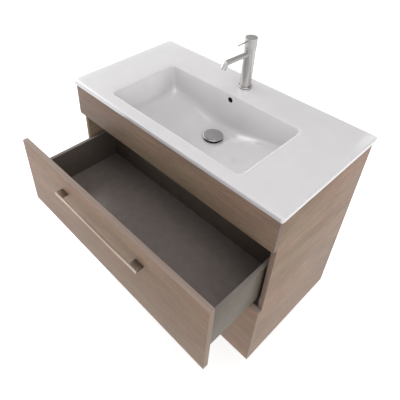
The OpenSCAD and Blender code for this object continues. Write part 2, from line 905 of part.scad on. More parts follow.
module tap_body() {
    color("silver") difference() {
        union() {
            translate([0, tap_y, tap_foot]) cylinder(r = tap_r, h = column_top - tap_foot);
            spout_run(spout_r, 0, 0);
        }
        translate([0, tap_y, cartridge_top - cartridge_l])
            cylinder(r = chamber_r, h = column_top - cartridge_top + cartridge_l + cut_over);
        spout_run(spout_bore_d / 2, chamber_r - cut_over, cut_over);
        along_nozzle() translate([0, 0, nozzle_straight - aerator_l + aerator_out])
            cylinder(r = aerator_r + fit_gap, h = aerator_l);
        for (sx = [-1, 1]) {
            translate([sx * inlet_x, inlet_y, tap_foot - cut_over])
                cylinder(d = inlet_d, h = inlet_l + cut_over);
            translate([sx * inlet_x, inlet_y, tap_foot])
                cylinder(r = waterway_r, h = cartridge_top - cartridge_l - tap_foot + cut_over);
        }
        translate([0, stud_y, tap_foot - cut_over])
            cylinder(r = stud_r + fit_gap, h = inlet_l + cut_over);
    }
}

module tap_aerator() {
    color("gray") along_nozzle() translate([0, 0, nozzle_straight - aerator_l + aerator_out])
        tube(aerator_r, spout_bore_d / 2 - aerator_step, aerator_l);
}

// Cartridge with a waist that lets the water round it into the spout
module tap_cartridge() {
    color("white") translate([0, tap_y, cartridge_top - cartridge_l]) difference() {
        union() {
            cylinder(r = cartridge_r, h = cartridge_foot_h);
            cylinder(r = cartridge_r - cartridge_waist, h = cartridge_l);
            translate([0, 0, cartridge_l - cartridge_head_h]) cylinder(r = cartridge_r, h = cartridge_head_h);
        }
        translate([0, 0, cartridge_l - spindle_l + spindle_seat - seat_gap])
            cylinder(r = spindle_r + fit_gap, h = spindle_l);
    }
}

// Vertical spindle that turns in the cartridge, with the cross pin that the cap tilts on
module tap_spindle() {
    top = column_top + cross_pin_r + spindle_past_pin;
    bottom = cartridge_top - spindle_l + spindle_seat;
    color("gold") translate([0, tap_y, 0]) {
        translate([0, 0, bottom]) cylinder(r = spindle_r, h = top - bottom);
        translate([-cross_pin_l / 2, 0, column_top]) rotate([0, 90, 0])
            cylinder(r = cross_pin_r, h = cross_pin_l);
    }
}

// Hollow cap with two lugs on the cross pin; its skirt slopes up behind, so that it can tilt
module tap_cap() {
    cavity_top = column_top + cap_cavity_h;
    color("silver") translate([0, tap_y, 0]) difference() {
        union() {
            difference() {
                translate([0, 0, column_top + cap_seam]) cylinder(r = cap_r, h = tap_cap_h - cap_seam);
                translate([0, 0, column_top - cut_over])
                    cylinder(r = cap_r - cap_wall, h = cap_cavity_h + cut_over);
            }
            both_sides() {
                translate([lug_in, 0, column_top]) rotate([0, 90, 0])
                    cylinder(r = lug_r, h = lug_out - lug_in);
                block([lug_in, -lug_r, column_top], [lug_out, lug_r, cavity_top + cut_over]);
            }
        }
        translate([-cross_pin_l, 0, column_top]) rotate([0, 90, 0])
            cylinder(r = cross_pin_r + fit_gap, h = 2 * cross_pin_l);
        translate([0, 0, column_top + cap_seam]) rotate([cap_slope, 0, 0]) difference() {
            block([-cap_r - cut_over, 0, -cap_r], [cap_r + cut_over, 2 * cap_r, 0]);
            block([-lug_out - cut_over, -cut_over, -cap_r - cut_over],
                [lug_out + cut_over, lug_r + cap_lug_slot, cut_over]);
        }
        translate([0, -cap_r - cut_over, lever_z]) rotate([-90, 0, 0])
            cylinder(d = lever_d + 2 * fit_gap, h = lever_seat + cut_over);
    }
}

module tap_lever() {
    color("silver") translate([0, tap_y - cap_r - lever_l, lever_z]) {
        rotate([-90, 0, 0]) cylinder(d = lever_d, h = lever_l + lever_seat);
        sphere(d = lever_d + lever_end_step);
    }
}

module tap_stud() {
    color("gold") translate([0, stud_y, tap_foot + inlet_l - stud_l]) cylinder(r = stud_r, h = stud_l);
}

module tap_backplate() {
    color("silver") translate([0, tap_y, slab_bot - backplate_t]) difference() {
        cylinder(r = backplate_r, h = backplate_t);
        block([-inlet_x - inlet_d, -backplate_r - cut_over, -cut_over],
            [inlet_x + inlet_d, inlet_d / 2 + hose_play - inlet_before, backplate_t + cut_over]);
        translate([0, stud_behind, -cut_over])
            cylinder(r = stud_r + thread_play, h = backplate_t + 2 * cut_over);
    }
}

module tap_nut() {
    color("gold") translate([0, stud_y, slab_bot - backplate_t - tap_nut_h]) difference() {
        cylinder(r = tap_nut_r, h = tap_nut_h, $fn = 6);
        translate([0, 0, -cut_over]) cylinder(r = stud_r + fit_gap, h = tap_nut_h + 2 * cut_over);
    }
}

// ---- drawers -------------------------------------------------------------
// Each drawer is drawn shut and then moved out by its opening.

module drawer_front(top, bottom) {
    screw_z = top - handle_drop - handle_foot_t / 2;
    color("rosybrown") difference() {
        block([-cab_w / 2, face_y, bottom], [cab_w / 2, carcass_y, top]);
        both_sides() translate([screw_half_pitch, face_y - cut_over, screw_z]) rotate([-90, 0, 0])
            cylinder(d = handle_screw_d + thread_play, h = front_t + 2 * cut_over);
    }
}

module drawer_side(top) {
    block([drawer_in_x, carcass_y, top - drawer_side_h], [drawer_x, carcass_y + rail_l, top]);
}

module drawer_back(top) {
    back_y = carcass_y + rail_l;
    block([-drawer_in_x, back_y - drawer_side_t, top - drawer_side_h + runner_recess],
        [drawer_in_x, back_y, top]);
}

module drawer_bottom(top) {
    low = top - drawer_side_h + runner_recess;
    block([-drawer_in_x, carcass_y, low],
        [drawer_in_x, carcass_y + rail_l - drawer_side_t, low + drawer_bottom_t]);
}

module handle_bar(top) {
    bar_y = face_y - handle_foot_d;
    bar_z = top - handle_drop;
    block([-handle_l / 2, bar_y - handle_bar_d, bar_z - handle_bar_h], [handle_l / 2, bar_y, bar_z]);
}

module handle_feet(top) {
    foot_z = top - handle_drop;
    low_x = handle_l / 2 - handle_foot_w;
    both_sides() difference() {
        block([low_x, face_y - handle_foot_d, foot_z - handle_foot_t], [handle_l / 2, face_y, foot_z]);
        translate([screw_half_pitch, face_y - handle_foot_d / 2, foot_z - handle_foot_t / 2])
            rotate([-90, 0, 0]) cylinder(d = handle_screw_d, h = handle_foot_d / 2 + cut_over);
    }
}

module handle_screws(top) {
    in_foot = handle_foot_d / 2 - screw_tip_gap;
    screw_z = top - handle_drop - handle_foot_t / 2;
    both_sides() translate([screw_half_pitch, face_y - in_foot, screw_z]) rotate([-90, 0, 0]) {
        cylinder(d = handle_screw_d - thread_play, h = in_foot + front_t + cut_over);
        translate([0, 0, in_foot + front_t]) cylinder(d = handle_screw_head_d, h = screw_head_t);
    }
}

// ---- runners -------------------------------------------------------------

// Fixed right rail: flange on the side panel, shelf under the drawer's side, and a guide lip
module fixed_rail(side_top) {
    under = side_top - drawer_side_h - rail_under;
    low = under - rail_sheet;
    lip_x = rail_x - rail_play - rail_sheet;
    block([inner_x - rail_sheet, carcass_y, low], [inner_x, carcass_y + rail_l, low + rail_flange_h]);
    block([lip_x, carcass_y, low], [inner_x, carcass_y + rail_l, under]);
    block([lip_x, carcass_y, low], [lip_x + rail_sheet, carcass_y + rail_l, under + rail_under]);
}

// Right middle rail, an upturned channel on the fixed rail's shelf
module middle_rail(side_top) {
    low = side_top - drawer_side_h - rail_under + rail_play;
    difference() {
        block([rail_x, carcass_y, low], [rail_x + rail_w, carcass_y + rail_l, low + middle_rail_h]);
        block([rail_x + rail_sheet, carcass_y - cut_over, low - cut_over],
            [rail_x + rail_w - rail_sheet, carcass_y + rail_l + cut_over, low + middle_rail_h - rail_sheet]);
    }
}

// Right drawer rail, an upturned channel under the drawer's bottom
module drawer_rail(side_top) {
    side_low = side_top - drawer_side_h;
    low = side_low - rail_under + middle_rail_h + 2 * rail_play;
    high = side_low + runner_recess;
    back_y = carcass_y + rail_l - drawer_side_t;
    difference() {
        block([rail_x, carcass_y, low], [rail_x + rail_w, back_y, high]);
        block([rail_x + rail_sheet, carcass_y - cut_over, low - cut_over],
            [rail_x + rail_w - rail_sheet, back_y + cut_over, high - rail_sheet]);
    }
}

// ---- named pieces of the two drawers --------------------------------------

module pulled_out(opening) {
    translate([0, -opening, 0]) children();
}

module upper_front() {
    pulled_out(upper_opening) drawer_front(upper_front_top, upper_front_bot);
}

module upper_side_right() {
    color("gray") pulled_out(upper_opening) drawer_side(upper_side_top);
}

module upper_side_left() {
    color("gray") pulled_out(upper_opening) mirror([1, 0, 0]) drawer_side(upper_side_top);
}

module upper_back() {
    color("gray") pulled_out(upper_opening) drawer_back(upper_side_top);
}

module upper_bottom() {
    color("dimgray") pulled_out(upper_opening) drawer_bottom(upper_side_top);
}

module upper_handle_bar() {
    color("wheat") pulled_out(upper_opening) handle_bar(upper_front_top);
}

module upper_handle_feet() {
    color("saddlebrown") pulled_out(upper_opening) handle_feet(upper_front_top);
}

module upper_handle_screws() {
    color("silver") pulled_out(upper_opening) handle_screws(upper_front_top);
}

module upper_rail_right() {
    color("silver") fixed_rail(upper_side_top);
}

module upper_rail_left() {
    color("silver") mirror([1, 0, 0]) fixed_rail(upper_side_top);
}

module upper_middle_rails() {
    color("silver") pulled_out(half_travel * upper_opening) both_sides() middle_rail(upper_side_top);
}

module upper_drawer_rails() {
    color("silver") pulled_out(upper_opening) both_sides() drawer_rail(upper_side_top);
}

module lower_front() {
    drawer_front(lower_front_top, lower_front_top - lower_front_h);
}

module lower_side_right() {
    color("gray") drawer_side(lower_side_top);
}

module lower_side_left() {
    color("gray") mirror([1, 0, 0]) drawer_side(lower_side_top);
}

module lower_back() {
    color("gray") drawer_back(lower_side_top);
}

module lower_bottom() {
    color("dimgray") drawer_bottom(lower_side_top);
}

module lower_handle_bar() {
    color("wheat") handle_bar(lower_front_top);
}

module lower_handle_feet() {
    color("saddlebrown") handle_feet(lower_front_top);
}

module lower_handle_screws() {
    color("silver") handle_screws(lower_front_top);
}

module lower_rail_right() {
    color("silver") fixed_rail(lower_side_top);
}

module lower_rail_left() {
    color("silver") mirror([1, 0, 0]) fixed_rail(lower_side_top);
}

module lower_middle_rails() {
    color("silver") both_sides() middle_rail(lower_side_top);
}

module lower_drawer_rails() {
    color("silver") both_sides() drawer_rail(lower_side_top);
}

side_panel_left();
side_panel_right();
bottom_panel();
front_apron();
rear_top_rail();
rear_bottom_rail();
apron_brackets();
cam_fittings();
hanger_left();
hanger_right();
wall_rail();
basin_slab();
basin_bowl();
basin_seal();
drain_flange();
drain_cap();
drain_cartridge();
drain_seals();
drain_nut();
waste_cup();
trap_pipe();
trap_bend();
trap_outlet();
slip_nuts();
wall_rosette();
tap_gasket();
tap_base_ring();
tap_body();
tap_aerator();
tap_cartridge();
tap_spindle();
tap_cap();
tap_lever();
tap_stud();
tap_backplate();
tap_nut();
upper_front();
upper_side_left();
upper_side_right();
upper_back();
upper_bottom();
upper_handle_bar();
upper_handle_feet();
upper_handle_screws();
upper_rail_left();
upper_rail_right();
upper_middle_rails();
upper_drawer_rails();
lower_front();
lower_side_left();
lower_side_right();
lower_back();
lower_bottom();
lower_handle_bar();
lower_handle_feet();
lower_handle_screws();
lower_rail_left();
lower_rail_right();
lower_middle_rails();
lower_drawer_rails();
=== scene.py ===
"""A wall-hung bathroom vanity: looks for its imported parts, in metres and in the part's own frame."""
import json
import math

import bmesh
import bpy
from mathutils import Matrix, Vector

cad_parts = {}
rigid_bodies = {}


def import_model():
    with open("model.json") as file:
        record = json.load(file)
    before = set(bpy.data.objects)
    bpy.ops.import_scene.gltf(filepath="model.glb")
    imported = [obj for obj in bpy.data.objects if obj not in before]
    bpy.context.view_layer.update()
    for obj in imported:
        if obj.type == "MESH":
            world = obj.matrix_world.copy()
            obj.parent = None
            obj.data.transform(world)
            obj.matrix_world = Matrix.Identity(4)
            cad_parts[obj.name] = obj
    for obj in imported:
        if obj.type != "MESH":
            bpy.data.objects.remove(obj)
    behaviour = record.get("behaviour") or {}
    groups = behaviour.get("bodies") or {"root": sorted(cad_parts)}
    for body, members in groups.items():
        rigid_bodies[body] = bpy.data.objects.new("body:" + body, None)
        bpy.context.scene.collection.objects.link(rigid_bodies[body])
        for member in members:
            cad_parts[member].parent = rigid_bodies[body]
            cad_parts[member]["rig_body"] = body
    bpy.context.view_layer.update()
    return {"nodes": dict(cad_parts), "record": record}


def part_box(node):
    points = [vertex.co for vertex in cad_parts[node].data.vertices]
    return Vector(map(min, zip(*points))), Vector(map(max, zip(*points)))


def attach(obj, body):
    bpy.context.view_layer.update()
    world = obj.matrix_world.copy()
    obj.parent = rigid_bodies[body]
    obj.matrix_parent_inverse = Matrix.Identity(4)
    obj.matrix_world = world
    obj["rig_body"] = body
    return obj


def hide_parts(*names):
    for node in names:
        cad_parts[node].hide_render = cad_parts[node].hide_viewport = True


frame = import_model()
MM = 0.001


# ---------------------------------------------------------------- node helpers

def set_inputs(tree, node, inputs):
    """Sets a node's inputs, given by name or number, to values or links them to sockets."""
    for name, value in inputs.items():
        if isinstance(value, bpy.types.NodeSocket):
            tree.links.new(value, node.inputs[name])
        else:
            node.inputs[name].default_value = value


def add_node(tree, kind, inputs=None, **settings):
    """A new node with its settings and inputs."""
    node = tree.nodes.new(kind)
    for name, value in settings.items():
        setattr(node, name, value)
    set_inputs(tree, node, inputs or {})
    return node


def span(tree, value, low, high, start=0.0, end=1.0, curve="LINEAR"):
    """A value in the range start to end, brought to the range low to high."""
    inputs = {"Value": value, "From Min": start, "From Max": end, "To Min": low, "To Max": high}
    return add_node(tree, "ShaderNodeMapRange", inputs, interpolation_type=curve).outputs["Result"]


def ray_kind(tree, *kinds):
    """1 for a ray of one of the named kinds, else 0."""
    path = add_node(tree, "ShaderNodeLightPath")
    total = path.outputs[kinds[0]]
    for kind in kinds[1:]:
        inputs = {0: total, 1: path.outputs[kind]}
        total = add_node(tree, "ShaderNodeMath", inputs, operation="MAXIMUM").outputs[0]
    return total


def new_material(name):
    """A material, its node tree and its shader."""
    material = bpy.data.materials.new(name)
    material.use_nodes = True
    return material, material.node_tree, material.node_tree.nodes["Principled BSDF"]


# ---------------------------------------------------------------- camera, floor and light

# The photograph's camera, solved from the slab's and the cabinet's edges, in pixels, metres and mm
PHOTO_PIXELS = 400
FOCAL_PIXELS = 428.5
PRINCIPAL_X, PRINCIPAL_Y = 165.0, 145.0
CAMERA_AT = Vector((0.7273, -1.0955, 0.8129))
CAMERA_TO = Vector((0.0486, -0.4701, 0.0740))
SENSOR = 36.0
CLIP_START, CLIP_END = 0.05, 60.0

# Name, place, point it looks at, width, height and power of each lamp, in metres and watts
LAMPS = [
    ("lamp_left", (-3.0, -0.6, 1.2), (0.0, -0.3, 0.0), 3.0, 2.6, 50),
    ("lamp_back", (0.6, 3.0, 1.3), (0.0, -0.3, 0.0), 2.0, 2.0, 12),
    ("lamp_front_left", (-2.4, -2.4, 0.1), (0.0, -0.3, -0.2), 2.0, 1.4, 8),
    ("lamp_front_right", (2.4, -2.4, 1.2), (0.0, -0.3, 0.0), 2.0, 2.0, 8),
    ("lamp_right", (3.0, -0.9, 1.0), (0.0, -0.3, 0.0), 2.4, 2.4, 18),
    ("lamp_top", (0.5, -0.9, 3.0), (0.0, -0.4, 0.0), 2.2, 2.2, 28),
    ("lamp_rim", (-1.75, 1.8, 0.20), (0.2, -0.3, 0.06), 1.0, 0.22, 5),
]
WHITE = (1, 1, 1, 1)
# Strength of the room's even light
AMBIENT = 0.43

# The darker ceiling that reflections show: where its middle is, the cosines from there at which it
# begins and is complete, and its strength
CEILING = Vector((0.35, 0.10, 1.0)).normalized()
CEILING_START, CEILING_FULL = 0.08, 0.52
CEILING_STRENGTH = 0.34

# The floor's height, half its width, its paint, and the glow that makes it white where it is seen
FLOOR_Z, FLOOR_HALF = -0.80, 12.0
FLOOR_PAINT, FLOOR_ROUGHNESS = (0.74, 0.74, 0.74, 1), 0.9
FLOOR_LIFT = 0.62


def looking(name, data, place, aim):
    """A new camera or lamp at a place, turned to a point."""
    made = bpy.data.objects.new(name, data)
    made.location = place
    made.rotation_euler = (Vector(aim) - Vector(place)).to_track_quat("-Z", "Y").to_euler()
    bpy.context.collection.objects.link(made)
    return made


def make_camera():
    """The photograph's camera: place, direction, focal length and shift."""
    data = bpy.data.cameras.new("camera")
    data.sensor_width = SENSOR
    data.lens = FOCAL_PIXELS / PHOTO_PIXELS * SENSOR
    data.shift_x = (PHOTO_PIXELS / 2 - PRINCIPAL_X) / PHOTO_PIXELS
    data.shift_y = (PRINCIPAL_Y - PHOTO_PIXELS / 2) / PHOTO_PIXELS
    data.clip_start = CLIP_START
    data.clip_end = CLIP_END
    bpy.context.scene.camera = looking("camera", data, CAMERA_AT, CAMERA_TO)


def make_lamps():
    """Large soft lamps on all sides."""
    for name, place, aim, width, height, power in LAMPS:
        data = bpy.data.lights.new(name, "AREA")
        data.shape = "RECTANGLE"
        data.size = width
        data.size_y = height
        data.energy = power
        looking(name, data, place, aim)


def make_world():
    """An even pale room. Seen directly it is white, and reflections show its darker ceiling."""
    world = bpy.data.worlds.new("room")
    bpy.context.scene.world = world
    world.use_nodes = True
    tree = world.node_tree
    tree.nodes.clear()
    direction = add_node(tree, "ShaderNodeTexCoord").outputs["Generated"]
    upwards = add_node(tree, "ShaderNodeVectorMath", {0: direction, 1: CEILING}, operation="DOT_PRODUCT")
    ceiling = span(tree, upwards.outputs["Value"], 1.0, CEILING_STRENGTH, CEILING_START, CEILING_FULL,
                   "SMOOTHSTEP")
    room, mirrored, white = (
        add_node(tree, "ShaderNodeBackground", {"Color": WHITE, "Strength": strength}).outputs[0]
        for strength in (AMBIENT, ceiling, 1.0))
    in_mirror = add_node(tree, "ShaderNodeMixShader",
                         {"Fac": ray_kind(tree, "Is Glossy Ray"), 1: room, 2: mirrored})
    in_view = add_node(tree, "ShaderNodeMixShader",
                       {"Fac": ray_kind(tree, "Is Camera Ray", "Is Transmission Ray"),
                        1: in_mirror.outputs[0], 2: white})
    add_node(tree, "ShaderNodeOutputWorld", {"Surface": in_view.outputs[0]})


def make_floor():
    """A plain pale floor, white where it is seen directly, mirrored or through glass."""
    mesh = bpy.data.meshes.new("floor")
    outline = [(x * FLOOR_HALF, y * FLOOR_HALF, FLOOR_Z) for x, y in ((-1, -1), (1, -1), (1, 1), (-1, 1))]
    mesh.from_pydata(outline, [], [(0, 1, 2, 3)])
    floor = bpy.data.objects.new("floor", mesh)
    bpy.context.collection.objects.link(floor)
    material, tree, shader = new_material("floor_paint")
    set_inputs(tree, shader, {"Base Color": FLOOR_PAINT, "Roughness": FLOOR_ROUGHNESS})
    seen = ray_kind(tree, "Is Camera Ray", "Is Glossy Ray", "Is Transmission Ray")
    glow = add_node(tree, "ShaderNodeEmission", {"Strength": span(tree, seen, 0.0, FLOOR_LIFT)})
    both = add_node(tree, "ShaderNodeAddShader", {0: shader.outputs[0], 1: glow.outputs[0]})
    set_inputs(tree, tree.nodes["Material Output"], {"Surface": both.outputs[0]})
    mesh.materials.append(material)


# ---------------------------------------------------------------- materials

GRAIN_X, GRAIN_Y, GRAIN_Z = 0, 1, 2
ORIGIN = (0.0, 0.0, 0.0)
# How far the wood's hue texture lies from its other textures
HUE_SHIFT = 3.1
# Depths below the top between which painted shade greys the glaze down in the bowl
BOWL_SHADE_FROM, BOWL_SHADE_TO = 8 * MM, 70 * MM
# Texture scales of brush lines along Z and of the rings that turning leaves
BRUSHED = (700.0, 700.0, 30.0)
TURNED = (30.0, 30.0, 2300.0)
# A metal's tint at grazing angles, where a white room would wash it out
GRAZING_TINT = (0.6, 0.6, 0.6, 1)


def even(value):
    """A grey, or a texture scale that is the same along every axis."""
    return (value, value, value)


def times(colour, share):
    """A colour made darker or lighter."""
    return tuple(share * v for v in colour)


def stretched(grain, lengthwise, across):
    """A texture scale with another value along the grain's axis."""
    return tuple(lengthwise if axis == grain else across for axis in range(3))


def noise(tree, scale, detail, rough, distortion=0.0, offset=ORIGIN):
    """Noise over object coordinates, with a scale per axis in features per metre."""
    coord = add_node(tree, "ShaderNodeTexCoord").outputs["Object"]
    mapping = add_node(tree, "ShaderNodeMapping", {"Vector": coord, "Scale": scale, "Location": offset})
    inputs = {"Vector": mapping.outputs["Vector"], "Scale": 1.0, "Detail": detail, "Roughness": rough,
              "Distortion": distortion}
    return add_node(tree, "ShaderNodeTexNoise", inputs).outputs["Fac"]


def ramp(tree, factor, *stops):
    """A colour ramp of (position, colour) stops over a factor."""
    node = add_node(tree, "ShaderNodeValToRGB", {"Fac": factor})
    elements = node.color_ramp.elements
    for stop in stops[1:-1]:
        elements.new(stop[0])
    for element, (place, colour) in zip(elements, stops):
        element.position, element.color = place, (*colour, 1)
    return node.outputs["Color"]


def multiply(tree, base, tint, amount=1.0):
    """A colour multiplied by a tint. amount is how much the tint counts."""
    inputs = {"Factor": amount, "A": base, "B": tint}
    return add_node(tree, "ShaderNodeMix", inputs, data_type="RGBA", blend_type="MULTIPLY").outputs["Result"]


def bump(tree, shader, height, depth, strength):
    """Bump of a depth in metres on a shader."""
    node = add_node(tree, "ShaderNodeBump", {"Height": height, "Distance": depth, "Strength": strength})
    set_inputs(tree, shader, {"Normal": node.outputs["Normal"]})


def wood(name, grain, colour, offset=ORIGIN):
    """Printed wood decor round a mean colour: broad bands, streaks and pores along one axis."""
    material, tree, shader = new_material(name)

    def layer(lengthwise, across, detail, rough, distortion=0.0, shift=0.0):
        """Noise stretched along the grain."""
        place = tuple(v + shift for v in offset)
        return noise(tree, stretched(grain, lengthwise, across), detail, rough, distortion, place)

    # Features per metre along and across the grain, detail, roughness and distortion of each layer
    cloud = layer(2.0, 7.0, 3.0, 0.5, 1.1)
    band = layer(3.4, 27.0, 6.0, 0.70, 0.9)
    streak = layer(11.0, 210.0, 4.0, 0.6, 0.3)
    pores = layer(45.0, 1100.0, 3.0, 0.55)
    hue = layer(3.0, 13.0, 2.0, 0.5, 0.6, HUE_SHIFT)
    base = ramp(tree, cloud, (0.34, times(colour, 0.87)), (0.52, colour), (0.68, times(colour, 1.10)))
    base = multiply(tree, base, ramp(tree, band, (0.30, even(0.90)), (0.66, even(1.07))))
    base = multiply(tree, base, ramp(tree, streak, (0.32, even(0.84)), (0.62, even(1.09))))
    base = multiply(tree, base, ramp(tree, pores, (0.32, (0.74, 0.71, 0.68)), (0.47, even(1.04))))
    base = multiply(tree, base, ramp(tree, hue, (0.36, (0.960, 1.015, 0.980)), (0.64, (1.060, 0.980, 1.000))))
    set_inputs(tree, shader, {"Base Color": base, "Roughness": span(tree, streak, 0.46, 0.62),
                              "Specular IOR Level": 0.28})
    bump(tree, shader, pores, 0.10 * MM, 0.6)
    return material


def edge_band(name, grain, colour):
    """The thin band glued on a board's edge, streaked along its length."""
    material, tree, shader = new_material(name)
    lines = noise(tree, stretched(grain, 7.0, 320.0), 4.0, 0.6)
    dots = noise(tree, even(900.0), 2.0, 0.5)
    base = ramp(tree, lines, (0.30, times(colour, 0.86)), (0.70, times(colour, 1.12)))
    base = multiply(tree, base, ramp(tree, dots, (0.3, (0.72, 0.70, 0.68)), (0.6, even(1.05))), 0.35)
    set_inputs(tree, shader, {"Base Color": base, "Roughness": 0.6, "Specular IOR Level": 0.35})
    bump(tree, shader, dots, 0.05 * MM, 0.5)
    return material


def laminate(name, low, high, roughness):
    """Fine-grained plain laminate, mottled between two colours."""
    material, tree, shader = new_material(name)
    mottle = noise(tree, even(38.0), 5.0, 0.6)
    grit = noise(tree, even(1400.0), 2.0, 0.5)
    base = ramp(tree, mottle, (0.30, low), (0.70, high))
    base = multiply(tree, base, ramp(tree, grit, (0.35, even(0.82)), (0.65, even(1.08))), 0.4)
    set_inputs(tree, shader, {"Base Color": base, "Specular IOR Level": 0.4,
                              "Roughness": span(tree, grit, roughness - 0.06, roughness + 0.06)})
    bump(tree, shader, grit, 0.04 * MM, 0.6)
    return material


def ceramic(name):
    """White glaze, a little uneven, and greyed by painted shade down in the bowl."""
    material, tree, shader = new_material(name)
    wave = noise(tree, even(14.0), 3.0, 0.5)
    base = ramp(tree, wave, (0.3, (0.800, 0.781, 0.794)), (0.7, (0.834, 0.815, 0.827)))
    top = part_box("basin_slab")[1][2]
    coord = add_node(tree, "ShaderNodeTexCoord").outputs["Object"]
    height = add_node(tree, "ShaderNodeSeparateXYZ", {"Vector": coord}).outputs["Z"]
    rise = span(tree, height, 0.0, 1.0, top - BOWL_SHADE_TO, top - BOWL_SHADE_FROM)
    # Painted shade: the glaze grows greyer with depth in the bowl
    base = multiply(tree, base, ramp(tree, rise, (0.0, even(0.885)), (1.0, even(1.0))))
    set_inputs(tree, shader, {"Base Color": base, "Roughness": span(tree, wave, 0.18, 0.26),
                              "Specular IOR Level": 0.5, "Coat Weight": 1.0, "Coat Roughness": 0.10,
                              "Coat IOR": 1.8})
    bump(tree, shader, wave, 0.25 * MM, 0.35)
    return material


def metal(name, colour, roughness, lines=BRUSHED, depth=0.02 * MM, spread=0.05):
    """Metal with fine lines and a slightly uneven sheen, somewhat darker at grazing angles."""
    material, tree, shader = new_material(name)
    line = noise(tree, lines, 3.0, 0.6)
    stain = noise(tree, even(25.0), 3.0, 0.5)
    base = ramp(tree, line, (0.3, times(colour, 0.90)), (0.7, colour))
    base = multiply(tree, base, ramp(tree, stain, (0.3, even(0.9)), (0.7, even(1.04))), 0.25)
    set_inputs(tree, shader, {"Base Color": base, "Metallic": 1.0, "Specular Tint": GRAZING_TINT,
                              "Roughness": span(tree, line, roughness - spread, roughness + spread)})
    bump(tree, shader, line, depth, 0.5)
    return material


def plastic(name, colour, roughness):
    """Moulded plastic or rubber with a fine grain."""
    material, tree, shader = new_material(name)
    grain = noise(tree, even(1100.0), 2.0, 0.5)
    tone = noise(tree, even(22.0), 3.0, 0.5)
    base = ramp(tree, tone, (0.3, times(colour, 0.92)), (0.7, colour))
    set_inputs(tree, shader, {"Base Color": base,
                              "Roughness": span(tree, grain, roughness - 0.05, roughness + 0.05)})
    bump(tree, shader, grain, 0.04 * MM, 0.5)
    return material


NICKEL = (0.61, 0.595, 0.58)
MATERIALS = {
    "wood_front": wood("decor_front", GRAIN_X, (0.350, 0.238, 0.173)),
    # Painted shade: the apron's decor is the fronts' decor made darker, for the shade under the slab
    "wood_apron_shaded": wood("decor_apron_shaded", GRAIN_X, (0.266, 0.189, 0.138), (1.7, 2.1, 0.0)),
    "wood_side": wood("decor_side", GRAIN_Y, (0.394, 0.270, 0.198), (0.0, 3.2, 1.3)),
    "wood_back": wood("decor_back", GRAIN_X, (0.352, 0.243, 0.182), (2.9, 4.4, 6.1)),
    "edge_top": edge_band("decor_edge_top", GRAIN_X, (0.335, 0.256, 0.215)),
    "edge_side": edge_band("decor_edge_side", GRAIN_Z, (0.285, 0.205, 0.158)),
    "edge_end": edge_band("decor_edge_end", GRAIN_Z, (0.385, 0.283, 0.222)),
    "drawer_edge": edge_band("drawer_rim", GRAIN_Y, (0.240, 0.208, 0.190)),
    "ceramic": ceramic("white_glaze"),
    # Painted shade: near-black for the inside of the overflow's duct and hole, which is white ceramic in
    # shade
    "duct": laminate("duct_painted_shade", (0.030, 0.029, 0.028), (0.045, 0.043, 0.042), 0.8),
    "sealant": plastic("grey_sealant", (0.20, 0.19, 0.18), 0.6),
    "tap_metal": metal("brushed_nickel", NICKEL, 0.25, TURNED, 0.03 * MM),
    "tap_satin": metal("satin_nickel", NICKEL, 0.42, TURNED, 0.03 * MM),
    "chrome": metal("polished_chrome", (0.62, 0.615, 0.61), 0.09, even(60.0), 0.01 * MM, 0.03),
    "white_plastic": plastic("white_pipe", (0.80, 0.80, 0.78), 0.38),
    "black_rubber": plastic("dark_rubber", (0.035, 0.035, 0.036), 0.7),
    "brass": metal("plain_brass", (0.72, 0.53, 0.27), 0.30),
    "zinc_steel": metal("zinc_sheet", (0.50, 0.51, 0.53), 0.42, even(160.0), 0.01 * MM, 0.04),
    # Painted shade: the rails' steel is made near-black for the shaded gap beside the drawers
    "rail_steel": metal("rail_steel_shaded", (0.13, 0.125, 0.12), 0.55, even(90.0), spread=0.06),
    "drawer_side": laminate("drawer_grey", (0.160, 0.134, 0.102), (0.187, 0.158, 0.122), 0.5),
    # Painted shade: a darker copy of the drawers' grey for their inner faces, which lie in shade inside the
    # box
    "drawer_inside_shaded": laminate("drawer_grey_shaded", (0.108, 0.088, 0.074), (0.132, 0.109, 0.093), 0.42),
    "drawer_floor": laminate("drawer_dark", (0.186, 0.157, 0.146), (0.218, 0.187, 0.173), 0.33),
    "handle_satin": metal("satin_bar", (0.56, 0.462, 0.395), 0.42, (20.0, 900.0, 900.0)),
    # Painted reflection: the handle's feet take a dark brown for the dark ceiling that their satin metal
    # mirrors; they are the bar's metal
    "handle_bronze": metal("satin_foot_shaded", (0.210, 0.163, 0.130), 0.45, (500.0, 30.0, 500.0)),
}


# ---------------------------------------------------------------- mesh helpers

# Edges sharper than this stay sharp in the shading
SHARP_DEG = 38.0
# In a node's own form, the angle up to which faces are joined, and from which edges are rounded
FLAT_DEG, BEVEL_DEG = 0.5, 32.0
# The distance up to which points are joined, in a node's own form and in a finished piece
SAME_POINT, JOIN = 0.001 * MM, 0.002 * MM
# Radius of the tiny hole along a turned piece's axis
CORE = 0.05 * MM
# Points round a large turned piece, round a hole's cutter, and on an arc
TURN_STEPS, PLUG_STEPS, ARC_STEPS = 96, 72, 6
FLIP = Matrix.Rotation(math.pi, 4, "X")


def slot_of(node):
    """The material slot that the record gives a node."""
    return next(part["material_slot"] for part in frame["record"]["subparts"] if part["node"] == node)


def body_of(node):
    """The body that a node belongs to."""
    return frame["nodes"][node]["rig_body"]


def corners(node):
    """The lowest and the highest corner of a node's box."""
    return [Vector(corner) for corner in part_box(node)]


def middle(node):
    """The middle of a node's box."""
    low, high = corners(node)
    return (low + high) / 2


def facing_back(x, y, z):
    """The placement that takes +Z at the origin to +Y at a point."""
    return Matrix.Translation((x, y, z)) @ Matrix.Rotation(math.radians(-90), 4, "X")


def smooth(shape, sharp_deg=SHARP_DEG):
    """Smooth shading, except across edges sharper than an angle."""
    for face in shape.faces:
        face.smooth = True
    for edge in shape.edges:
        edge.smooth = not (len(edge.link_faces) == 2 and edge.calc_face_angle(0.0) > math.radians(sharp_deg))


